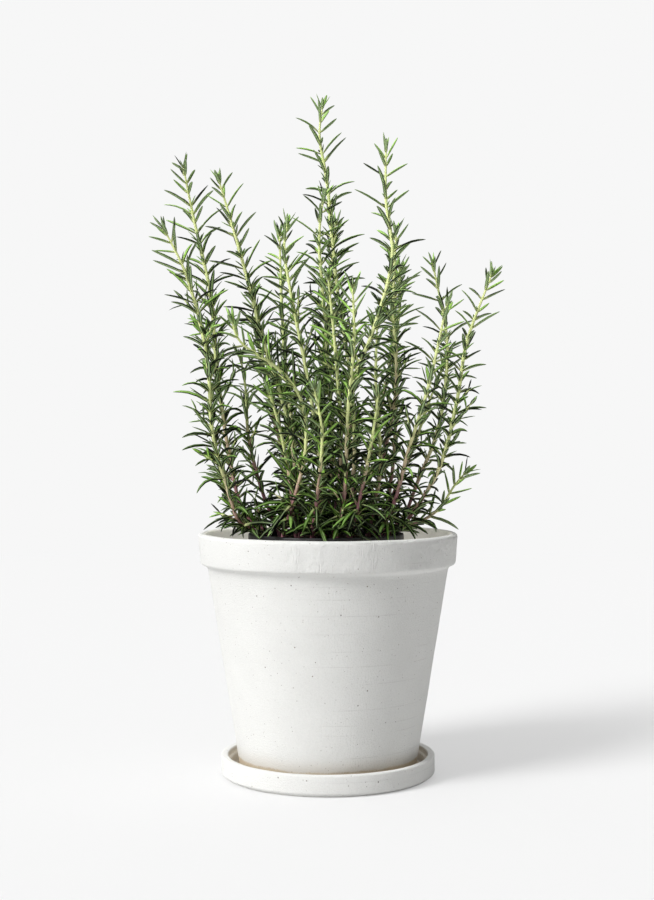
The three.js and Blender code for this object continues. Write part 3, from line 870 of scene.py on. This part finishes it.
class LeafForm:
    """A straight leaf one unit long, ready to be bent to its place many times."""

    def __init__(self, name, section, stations):
        bm = bmesh.new()
        ring = bmesh.ops.create_circle(bm, cap_ends=False, radius=1.0, segments=len(section))["verts"]
        for vert, (across, up, *_) in zip(ring, section):
            vert.co = (0.0, across, up)
        edges = bm.edges[:]
        bmesh.ops.scale(bm, vec=(1, stations[0][1], stations[0][1]), verts=ring)
        last_place, width = stations[0]
        for place, new_width in stations[1:]:
            ring, edges = next_ring(bm, edges)
            bmesh.ops.translate(bm, verts=ring, vec=(place - last_place, 0, 0))
            ratio = new_width / width
            bmesh.ops.scale(bm, vec=(1, ratio, ratio), verts=ring)
            last_place, width = place, new_width
        bmesh.ops.holes_fill(bm, edges=bm.edges, sides=len(section))
        bmesh.ops.recalc_face_normals(bm, faces=bm.faces)
        self.mesh = bpy.data.meshes.new(name)
        bm.to_mesh(self.mesh)
        bm.free()
        points = np.array([vert.co[:] for vert in self.mesh.vertices])
        self.along, self.across, self.up = points.T
        widths = np.interp(self.along, *zip(*stations))
        corners = np.array(section)
        nearest = [
            int(np.argmin(np.hypot(*(corners[:, :2] - (across / width, up / width)).T)))
            for across, up, width in zip(self.across, self.up, widths)
        ]
        upper, rib_and_highlight, painted_margin_shade = corners[nearest, 2:].T.tolist()
        base = np.maximum(1 - self.along / BASE_SHARE, 0).tolist()
        self.values = {"upper": upper, "rib_and_highlight": rib_and_highlight, "painted_margin_shade": painted_margin_shade, "base": base}

    def bent(self, root, bend, tip, edge, half_width, twist):
        """Places of the leaf's points once it runs from root through bend to tip."""
        root, bend, tip, edge = (np.array(vector) for vector in (root, bend, tip, edge))
        control = 2 * bend - (root + tip) / 2
        t = self.along[:, None]
        middle = root * (1 - t) ** 2 + control * 2 * t * (1 - t) + tip * t**2
        tangent = (control - root) * (1 - t) + (tip - control) * t
        tangent /= np.linalg.norm(tangent, axis=1, keepdims=True)
        side = edge - tangent * (tangent @ edge)[:, None]
        side /= np.linalg.norm(side, axis=1, keepdims=True)
        face = np.cross(tangent, side)
        turn = twist * t
        turned_side = side * np.cos(turn) + face * np.sin(turn)
        turned_face = face * np.cos(turn) - side * np.sin(turn)
        return middle + (turned_side * self.across[:, None] + turned_face * self.up[:, None]) * half_width


class StemBuilder:
    """Grows one leafy stem into a bmesh."""

    def __init__(self, settings, forms, node, number):
        self.settings = settings
        self.forms = forms
        self.draws = random.Random(settings.seed * 1000 + number)
        middles, self.leaves = read_stem(node)
        self.route = stem_route(middles)
        self.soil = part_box("soil")[1].z
        self.soil_place = self.soil - middles[0].z
        self.pot_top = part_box("pot")[1].z
        self.fullness = 1 - settings.left_fullness * middles[-1].x / (100 * MM)
        behind = middles[-1].y > 0
        # Stems behind the pot's axis darken to purple brown wood higher up, partly as painted shade
        self.wood_and_shade_reach = self.draws.uniform(*(BACK_WOOD_AND_SHADE if behind else FRONT_WOOD)) * MM
        self.bm = bmesh.new()
        layers = self.bm.verts.layers.float
        self.layers = {name: layers.new(name) for name in ("age", "tint", "upper", "rib_and_highlight", "painted_margin_shade", "base")}

    def radius(self, place):
        """Radius of the stem at a place along it."""
        from_tip = self.route.length - place
        grown = 1 - math.exp(-from_tip / THICK_FROM_TIP)
        return self.settings.tip_radius + (self.settings.stem_radius - self.settings.tip_radius) * grown

    def wood(self, place):
        """How woody the stem is at a place: 0 at the tip, 1 at the soil; behind the pot's axis this reaches
        higher, partly as painted shade.
        """
        above_soil = place - self.soil_place
        low = 1 - min(max(above_soil / self.wood_and_shade_reach, 0), 1)
        old = min((self.route.length - place) / WOODY_FROM_TIP, 1)
        return low * old

    def grown(self, place, reach):
        """How grown the leaves are at a place: 0 at the tip, 1 from this reach below it."""
        return min(max((self.route.length - place) / reach, 0), 1)

    def half_width(self, place):
        """Half the width of a leaf at a place along the stem."""
        young, old = self.settings.young_half_width, self.settings.old_half_width
        return (young + (old - young) * self.grown(place, WIDE_FROM_TIP)) * self.draws.uniform(0.86, 1.1)

    def tube(self, sides, spots):
        """A closed tube through spots of (middle, direction, radius, age)."""
        ring = bmesh.ops.create_circle(self.bm, cap_ends=False, radius=1.0, segments=sides)["verts"]
        edges = list({edge for vert in ring for edge in vert.link_edges})
        ends = [edges]
        for number, (middle, along, size, age) in enumerate(spots):
            if number:
                ring, edges = next_ring(self.bm, edges)
            for index, vert in enumerate(ring):
                vert.co = middle + outward(along, index / sides * FULL_TURN) * size
                vert[self.layers["age"]] = age
        ends.append(edges)
        for end in ends:
            bmesh.ops.holes_fill(self.bm, edges=end, sides=sides)

    def stalk(self, nodes):
        """The stem itself, swollen where leaves grow."""
        steps = int(self.route.length / STALK_STEP)
        spots = []
        for step in range(steps + 1):
            place = self.route.length * step / steps
            middle, along = self.route.spot(place)
            near = sum(math.exp(-(((place - node) / SWELLING_REACH) ** 2)) for node in nodes)
            swelling = 1 + SWELLING * near
            size = self.radius(place) * swelling * (0.55 if step == steps else 1.0)
            spots.append((middle, along, size, self.wood(place)))
        self.tube(STALK_SIDES, spots)

    def leaf(self, form, root, bend, tip, edge, half_width, age, twist):
        """One leaf of this form."""
        before = len(self.bm.verts)
        faces_before = len(self.bm.faces)
        self.bm.from_mesh(form.mesh)
        self.bm.verts.ensure_lookup_table()
        self.bm.faces.ensure_lookup_table()
        places = form.bent(root, bend, tip, edge, half_width, twist)
        tint = self.draws.random()
        for index, place in enumerate(places):
            vert = self.bm.verts[before + index]
            vert.co = place
            vert[self.layers["age"]] = age
            vert[self.layers["tint"]] = tint
            for name, numbers in form.values.items():
                vert[self.layers[name]] = numbers[index]
        for index in range(faces_before, len(self.bm.faces)):
            self.bm.faces[index].material_index = 1

    def is_free(self, *points):
        """Whether points keep clear of the soil and the two pots' walls, or hang between the walls."""
        for point in points:
            reach = math.hypot(point[0], point[1])
            if reach < SOIL_REACH:
                lowest = self.soil + CLEARANCE
            elif GAP_START < reach < GAP_END:
                lowest = self.pot_top - GAP_DEPTH
            else:
                lowest = self.pot_top + CLEARANCE
            if point[2] < lowest:
                return False
        return True

    def is_bare(self, middle):
        """Whether a place is low and over the rim on the right, where leaves are few."""
        return middle.x > BARE_FROM and middle.z < self.pot_top + BARE_HEIGHT

    def turn_of(self, along, out):
        """The turn about a stem at which it has this direction."""
        across = outward(along, 0.0)
        return math.atan2(out.dot(along.cross(across)), out.dot(across))

    def sprout(self, form, middle, along, girth, turn, reach, angle, droop, half_width, age):
        """A leaf from a stalk's side, lifted until it keeps clear, or none where it can't."""
        out = outward(along, turn)
        root = middle + out * girth * 0.7
        bow = angle + droop + self.draws.uniform(-0.2, 0.2)
        twist = self.draws.uniform(-0.9, 0.9)
        for lift in (0.0, 0.15, 0.3, 0.5, 0.75, 1.0):
            first = along * math.cos(angle) + out * math.sin(angle) + UP * lift
            bend = root + first.normalized() * reach / 2
            second = along * math.cos(bow) + out * math.sin(bow) + UP * (lift - 0.2 * age)
            tip = bend + second.normalized() * reach / 2
            if self.is_free(bend, tip):
                edge = along.cross(out).normalized()
                self.leaf(form, root, bend, tip, edge, half_width, age, twist)
                return

    def tuft(self, place, turn):
        """The small leaves in the axil of a leaf, more and longer further down."""
        from_tip = self.route.length - place
        if from_tip < ONE_IN_AXIL:
            return
        middle, along = self.route.spot(place + 1.2 * MM)
        grown = self.grown(place, TUFTED_FROM_TIP)
        reach = self.settings.small_leaf_length * (0.35 + 0.65 * grown) * self.fullness
        if from_tip < TWO_IN_AXIL:
            spreads = (self.draws.choice((-0.5, 0.5)),)
        elif from_tip < THREE_IN_AXIL:
            spreads = (-0.5, 0.5)
        elif self.wood(place) < 0.4:
            spreads = (-0.6, 0.6, 0.05)
        else:
            spreads = (-0.6, 0.6)
        if self.is_bare(middle):
            spreads = spreads[:1]
        for spread in spreads:
            heading = turn + spread * self.draws.uniform(0.6, 1.4)
            self.sprout(
                self.forms["small"], middle, along, self.radius(place), heading,
                reach * self.draws.uniform(0.6, 1.2), self.draws.uniform(0.42, 0.8 + 0.3 * grown), 0.1,
                self.half_width(place) * 0.74, grown * 0.7,
            )

    def pair(self, place, turn):
        """A pair of opposite large leaves and their tufts."""
        middle, along = self.route.spot(place)
        old = self.grown(place, SPREAD_FROM_TIP)
        young = self.grown(place, OPEN_FROM_TIP)
        from_tip = self.route.length - place
        growth = 1 - math.exp(-(from_tip + 7 * MM) / (13 * MM))
        for side in (0, math.pi):
            angle = 0.3 + (0.45 + 0.2 * old) * young
            angle += self.draws.uniform(-0.22, 0.25) * (1 + self.wood(place))
            heading = turn + side + self.draws.uniform(-0.35, 0.35)
            self.sprout(
                self.forms["large"], middle, along, self.radius(place), heading,
                self.settings.leaf_length * growth * self.fullness * self.draws.uniform(0.68, 1.0), angle,
                0.14 + 0.12 * old, self.half_width(place), self.grown(place, AGED_FROM_TIP),
            )
            self.tuft(place, turn + side)

    def side_shoot(self, place):
        """A short side shoot with its own pairs of leaves."""
        middle, along = self.route.spot(place)
        if self.is_bare(middle):
            return
        out = outward(along, self.draws.uniform(0, FULL_TURN))
        lean = self.draws.uniform(0.5, 1.0)
        heading = (along * math.cos(lean) + out * math.sin(lean)).normalized()
        size = self.settings.shoot_length * self.draws.uniform(0.5, 1.15)
        foot, tip = middle + out * self.radius(place) * 0.5, middle + heading * size
        if not self.is_free(tip):
            return
        wood = self.wood(place)
        self.tube(SHOOT_SIDES, [(foot, heading, 0.75 * MM, wood), (tip, heading, 0.4 * MM, wood * 0.5)])
        count = max(int(size / (4.2 * MM)), 2)
        for index in range(1, count + 1):
            joint = foot.lerp(tip, index / count)
            last = index == count
            for side in (0, math.pi):
                reach = self.settings.small_leaf_length * self.draws.uniform(0.8, 1.25)
                reach *= 0.8 if last else 1.0
                self.sprout(
                    self.forms["small"], joint, heading, 0.5 * MM, index * math.pi / 2 + side, reach,
                    self.draws.uniform(0.3, 0.55) if last else self.draws.uniform(0.6, 1.0), 0.1,
                    self.half_width(place) * 0.8, 0.45,
                )

    def low_leaf(self, heights, aside, spread, reaches, angles, droop):
        """An old leaf from the foot of the stem, turned away from the bush's middle more or less."""
        place = self.soil_place + self.draws.uniform(*heights) * MM
        middle, along = self.route.spot(place)
        away = self.turn_of(along, Vector((middle.x * aside, middle.y, 0)))
        turn = away + self.draws.uniform(-spread, spread)
        self.sprout(
            self.forms["large"], middle, along, self.radius(place), turn,
            self.settings.leaf_length * self.draws.uniform(*reaches), self.draws.uniform(*angles), droop,
            self.half_width(place), 1.0,
        )

    def skirt(self):
        """Long old leaves that splay out low over the soil and hang over the growing pot's rim."""
        for _ in range(6 if self.route.knots[0].y < 0 else 3):
            self.low_leaf(
                heights=(4, 26), aside=1.0, spread=1.7, reaches=(0.85, 1.25), angles=(0.9, 1.75), droop=0.2
            )

    def fringe(self):
        """Old leaves that hang down in front of the foremost stems' feet."""
        if self.route.knots[0].y <= -10 * MM:
            for _ in range(5):
                self.low_leaf(
                    heights=(8, 26), aside=0.5, spread=1.1, reaches=(0.9, 1.3), angles=(1.5, 2.3), droop=0.15
                )

    def bud(self):
        """The growing tip: two narrow pairs that are about to open."""
        middle, along = self.route.spot(self.route.length - 1 * MM)
        first = self.draws.uniform(0, math.pi)
        for turn, reach, angle in ((first, 12.0, 0.46), (first + math.pi / 2, 6.5, 0.2)):
            for side in (0, math.pi):
                self.sprout(
                    self.forms["small"], middle, along, 0.3 * MM, turn + side,
                    reach * self.draws.uniform(0.8, 1.1) * MM, angle * self.draws.uniform(0.7, 1.3), 0.03,
                    self.settings.young_half_width * 0.72, 0.1,
                )

    def grow(self):
        """The stalk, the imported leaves, pairs in the gaps, side shoots, low leaves and the bud."""
        packed = [(self.nearest_place(leaf[0]), leaf) for leaf in self.leaves]
        nodes = []
        for place in sorted(place for place, _ in packed):
            if not nodes or place - nodes[-1] > NODE_SPACING:
                nodes.append(place)
        extra = []
        lowest = self.soil_place + LOWEST_PAIR
        for start, end in zip([lowest, *nodes], nodes):
            old = self.grown(start, TUFTED_FROM_TIP)
            spacing = self.settings.young_spacing * (1 - old) + self.settings.old_spacing * old
            count = max(math.ceil((end - start) / spacing) - 1, 0)
            extra += [start + (end - start) * (index + 1) / (count + 1) for index in range(count)]
        extra.append(lowest)
        self.stalk([*nodes, *extra])
        for place, leaf in packed:
            self.packed_leaf(place, *leaf)
        for place in extra:
            self.pair(place, self.draws.uniform(0, math.pi))
        place = self.soil_place + LOWEST_SHOOT
        while place < min(self.soil_place + HIGHEST_SHOOT, self.route.length - SHOOTLESS_TIP):
            self.side_shoot(place)
            place += self.settings.shoot_spacing * self.draws.uniform(0.7, 1.3)
        self.skirt()
        self.bud()
        self.fringe()
        return self.bm

    def packed_leaf(self, place, root, bend, tip, edge):
        """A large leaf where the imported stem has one, and its tuft."""
        middle, along = self.route.spot(place)
        out = (root - middle).normalized()
        root = middle + out * self.radius(place) * 0.7
        bend = bend.lerp((root + tip) / 2, 0.2)
        age = self.grown(place, AGED_FROM_TIP)
        self.leaf(
            self.forms["large"], root, bend, tip, edge, self.half_width(place), age,
            self.draws.uniform(-0.8, 0.8),
        )
        self.tuft(place, self.turn_of(along, out))

    def nearest_place(self, point):
        """The place along the stem nearest to a point."""
        steps = int(self.route.length / MM)
        places = [self.route.length * step / steps for step in range(steps + 1)]
        return min(places, key=lambda place: (self.route.spot(place)[0] - point).length)


# Operators


class ROSEMARY_OT_pot(bpy.types.Operator):
    """Makes the ceramic pot and its saucer"""

    bl_idname = "rosemary.pot"
    bl_label = "Ceramic pot and saucer"

    def execute(self, context):
        settings = context.scene.rosemary_pot
        low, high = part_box("pot")
        clay = clay_material(settings, low.z, high.z - settings.band_height)
        for name, node, outline in (
            ("ceramic_pot", "pot", pot_outline(settings)),
            ("ceramic_saucer", "saucer", saucer_outline(settings)),
        ):
            bm = turned(outline, steps=160, longest_edge=4 * MM)
            wobble(bm, amount=0.16 * MM, size=22 * MM)
            for vert in bm.verts:
                vert.co.z = max(vert.co.z, 0.0)
            dress(to_object(name, bm, [clay]), "ceramic", node)
        return {"FINISHED"}


class ROSEMARY_OT_growing_pot(bpy.types.Operator):
    """Makes the plastic growing pot"""

    bl_idname = "rosemary.growing_pot"
    bl_label = "Growing pot"

    def execute(self, context):
        settings = context.scene.rosemary_growing_pot
        low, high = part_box("nursery_pot")
        centre_x = (low.x + high.x) / 2
        bm = turned(growing_pot_outline(settings), steps=128, longest_edge=6 * MM, centre_x=centre_x)
        piece = to_object("growing_pot", bm, [plastic_material(settings)])
        turns = [index / settings.holes * FULL_TURN for index in range(settings.holes)]
        cut_holes(piece, [hole_cutter(settings, turn, centre_x, low.z) for turn in turns])
        dress(piece, "nursery_plastic", "nursery_pot")
        return {"FINISHED"}


class ROSEMARY_OT_soil(bpy.types.Operator):
    """Makes the soil with its crumbs"""

    bl_idname = "rosemary.soil"
    bl_label = "Soil"

    def execute(self, context):
        settings = context.scene.rosemary_growing_pot
        low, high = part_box("soil")
        centre_x, radius = (low.x + high.x) / 2, (high.x - low.x) / 2
        bm = turned(soil_outline(), steps=112, longest_edge=1.8 * MM, centre_x=centre_x)
        bm.verts.layers.float.new("tint")
        edge_top = high.z - CROWN

        def surface(x, y):
            """Height of the soil's lumpy top."""
            reach = min(math.hypot(x - centre_x, y) / radius, 1)
            crown = edge_top + CROWN * (1 - reach)
            place = Vector((x, y, 0))
            lumps = noise.noise(place / (9 * MM)) * 0.9 + noise.noise(place / (3 * MM)) * 0.7 - 0.8
            return crown + lumps * MM * (1 - reach**6)

        for vert in bm.verts:
            if vert.co.z > edge_top - 1 * MM:
                vert.co.z = surface(vert.co.x, vert.co.y)
        scatter_crumbs(bm, random.Random(CRUMB_SEED), settings.crumbs, centre_x, radius * 0.93, surface)
        piece = to_object("potting_soil", bm, [soil_material(settings)])
        dress(piece, "soil", "soil")
        return {"FINISHED"}


class ROSEMARY_OT_stems(bpy.types.Operator):
    """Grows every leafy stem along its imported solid"""

    bl_idname = "rosemary.stems"
    bl_label = "Leafy stems"

    def execute(self, context):
        settings = context.scene.rosemary_foliage
        materials = [stem_material(settings), leaf_material(settings)]
        forms = {
            "large": LeafForm("large leaf", LARGE_SECTION, LARGE_STATIONS),
            "small": LeafForm("small leaf", SMALL_SECTION, SMALL_STATIONS),
        }
        for number, node in enumerate(STEM_NODES, start=1):
            bm = StemBuilder(settings, forms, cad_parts[node], number).grow()
            piece = to_object(f"rosemary_stem_{number:02d}", bm, materials)
            dress(piece, "foliage", node)
        for form in forms.values():
            bpy.data.meshes.remove(form.mesh)
        return {"FINISHED"}


# The key light's parts: name, elevation in degrees and share of its strength
KEY_PARTS = (("key_low", 18, 0.2), ("key_middle", 38, 0.6), ("key_high", 55, 0.2))
# How wide each part looks from the plant
KEY_WIDTH = math.radians(20)
# How strongly the picture shows the floor's shading, and the light that falls on the open floor
FLOOR_SHOWN = 0.48
FLOOR_LIGHT = 1.15
# Radius of the floor, and radius and height of the cove around it
FLOOR_RADIUS = 2.6
COVE_RADIUS = 3.6
COVE_HEIGHT = 3.2


class ROSEMARY_OT_stage(bpy.types.Operator):
    """Sets up the floor, the backdrop, the light and the camera"""

    bl_idname = "rosemary.stage"
    bl_label = "Studio"

    def execute(self, context):
        settings = context.scene.rosemary_stage
        self.make_backdrop(settings)
        self.make_key(context.scene, settings)
        self.make_rim_fill(context.scene, settings)
        self.make_dome(context.scene, settings)
        self.make_camera(context.scene, settings)
        return {"FINISHED"}

    def make_backdrop(self, settings):
        """A round floor, and a backdrop that rises from its edge and that only the camera sees."""
        sink = -0.1 * MM
        floor = turned([(0, sink, 0), (FLOOR_RADIUS, sink, 0)], steps=96, longest_edge=0.4)
        section = [
            (COVE_RADIUS, COVE_HEIGHT, 0), (COVE_RADIUS, sink, 0.9),
            (FLOOR_RADIUS, sink, 0), (0, COVE_HEIGHT, 0),
        ]
        cove = turned(section, steps=96, longest_edge=0.4)
        to_object("studio_floor", floor, [self.floor_paper(settings)])
        piece = to_object("studio_cove", cove, [self.cove_paper(settings)])
        piece.visible_diffuse = False
        piece.visible_glossy = False
        piece.visible_shadow = False
        piece.visible_transmission = False

    def floor_paper(self, settings):
        """Paper that the picture shows with softened shadows, and plain white far out."""
        material, tree, shader = new_material("floor paper")
        seen = add(tree, "ShaderNodeLightPath").outputs["Is Camera Ray"]
        far = ease(tree, radius_of(tree), 0.9, 1.9)
        bounce = settings.floor_bounce
        shown = times_plus(tree, seen, FLOOR_SHOWN - bounce, bounce)
        near_lift = settings.backdrop - FLOOR_SHOWN * FLOOR_LIGHT
        lift = times_plus(tree, far, settings.backdrop - near_lift, near_lift)
        feed(tree, shader, {
            "Base Color": times(tree, shown, calculate(tree, "SUBTRACT", 1.0, times(tree, seen, far))),
            "Roughness": 1.0,
            "Specular IOR Level": 0.0,
            "Emission Color": WHITE,
            "Emission Strength": times(tree, seen, lift),
        })
        return material

    def cove_paper(self, settings):
        """Evenly bright paper."""
        material, tree, shader = new_material("cove paper")
        feed(tree, shader, {
            "Base Color": BLACK,
            "Specular IOR Level": 0.0,
            "Emission Color": WHITE,
            "Emission Strength": settings.backdrop,
        })
        return material

    def make_key(self, scene, settings):
        """A tall soft key light from the front left."""
        turn = settings.key_turn
        for name, elevation, strength in KEY_PARTS:
            rise = math.radians(elevation)
            level = math.cos(rise)
            toward = Vector((-math.sin(turn) * level, -math.cos(turn) * level, math.sin(rise)))
            sun = bpy.data.lights.new(name, "SUN")
            sun.energy = settings.key_strength * strength * math.pi
            sun.angle = KEY_WIDTH
            lamp = bpy.data.objects.new(name, sun)
            lamp.rotation_euler = toward.to_track_quat("Z", "Y").to_euler()
            scene.collection.objects.link(lamp)

    def make_rim_fill(self, scene, settings):
        """A small lamp in the rim that lights the ceramic pot and nothing else."""
        fill = bpy.data.lights.new("Rim fill", "POINT")
        fill.energy = settings.rim_fill
        fill.shadow_soft_size = 20 * MM
        lamp = bpy.data.objects.new("Rim fill", fill)
        lamp.location.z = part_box("pot")[1].z - 2 * MM
        scene.collection.objects.link(lamp)
        clay_only = bpy.data.collections.new("Lit by the rim fill")
        clay_only.objects.link(bpy.data.objects["ceramic_pot"])
        lamp.light_linking.receiver_collection = clay_only
        lamp.light_linking.blocker_collection = clay_only

    def make_dome(self, scene, settings):
        """Soft light from all round, brightest overhead and behind the plant."""
        world = bpy.data.worlds.new("Soft dome")
        world.use_nodes = True
        scene.world = world
        tree = world.node_tree
        direction = add(tree, "ShaderNodeTexCoord").outputs["Generated"]
        part = add(tree, "ShaderNodeSeparateXYZ", {"Vector": direction}).outputs
        rise = calculate(tree, "MAXIMUM", part["Z"], 0.0)
        top = times(tree, calculate(tree, "POWER", rise, 3.0), settings.top_strength)
        behind = calculate(tree, "POWER", calculate(tree, "MAXIMUM", part["Y"], 0.0), 2.0)
        back = times(tree, behind, calculate(tree, "SUBTRACT", 1.0, rise))
        strength = times_plus(tree, back, settings.back_strength, top)
        strength = calculate(tree, "ADD", strength, settings.rest_strength)
        background = next(node for node in tree.nodes if node.type == "BACKGROUND")
        feed(tree, background, {"Color": WHITE, "Strength": strength})

    def make_camera(self, scene, settings):
        """A camera straight in front, tilted down by less than a degree."""
        data = bpy.data.cameras.new("camera")
        data.lens = settings.lens
        data.clip_end = 20.0
        camera = bpy.data.objects.new("camera", data)
        camera.location = (settings.camera_side, -settings.camera_distance, settings.camera_height)
        camera.rotation_euler = (math.pi / 2 - settings.camera_pitch, 0, 0)
        scene.collection.objects.link(camera)
        scene.camera = camera
        scene.view_settings.view_transform = "Standard"


class ROSEMARY_PT_panel(bpy.types.Panel):
    """The sidebar panel that lists the steps"""

    bl_label = "Potted rosemary"
    bl_idname = "ROSEMARY_PT_panel"
    bl_space_type = "VIEW_3D"
    bl_region_type = "UI"
    bl_category = "Rosemary"

    def draw(self, context):
        for operator in OPERATORS:
            self.layout.operator(operator.bl_idname)
        for name in SETTINGS:
            group = getattr(context.scene, name)
            box = self.layout.box()
            for label in group.__annotations__:
                box.prop(group, label)


SETTINGS = {
    "rosemary_pot": PotSettings,
    "rosemary_growing_pot": GrowingPotSettings,
    "rosemary_foliage": FoliageSettings,
    "rosemary_stage": StageSettings,
}
OPERATORS = (
    ROSEMARY_OT_pot,
    ROSEMARY_OT_growing_pot,
    ROSEMARY_OT_soil,
    ROSEMARY_OT_stems,
    ROSEMARY_OT_stage,
)


def register():
    """Registers the settings, the operators and the panel."""
    for cls in (*SETTINGS.values(), *OPERATORS, ROSEMARY_PT_panel):
        bpy.utils.register_class(cls)
    for name, cls in SETTINGS.items():
        setattr(bpy.types.Scene, name, PointerProperty(type=cls))


def unregister():
    """Takes the settings, the operators and the panel away again."""
    for name in SETTINGS:
        delattr(bpy.types.Scene, name)
    for cls in reversed((*SETTINGS.values(), *OPERATORS, ROSEMARY_PT_panel)):
        bpy.utils.unregister_class(cls)


def main():
    """Registers the classes and runs every step in order."""
    register()
    bpy.ops.rosemary.pot()
    bpy.ops.rosemary.growing_pot()
    bpy.ops.rosemary.soil()
    bpy.ops.rosemary.stems()
    bpy.ops.rosemary.stage()


if __name__ == "__main__":
    main()
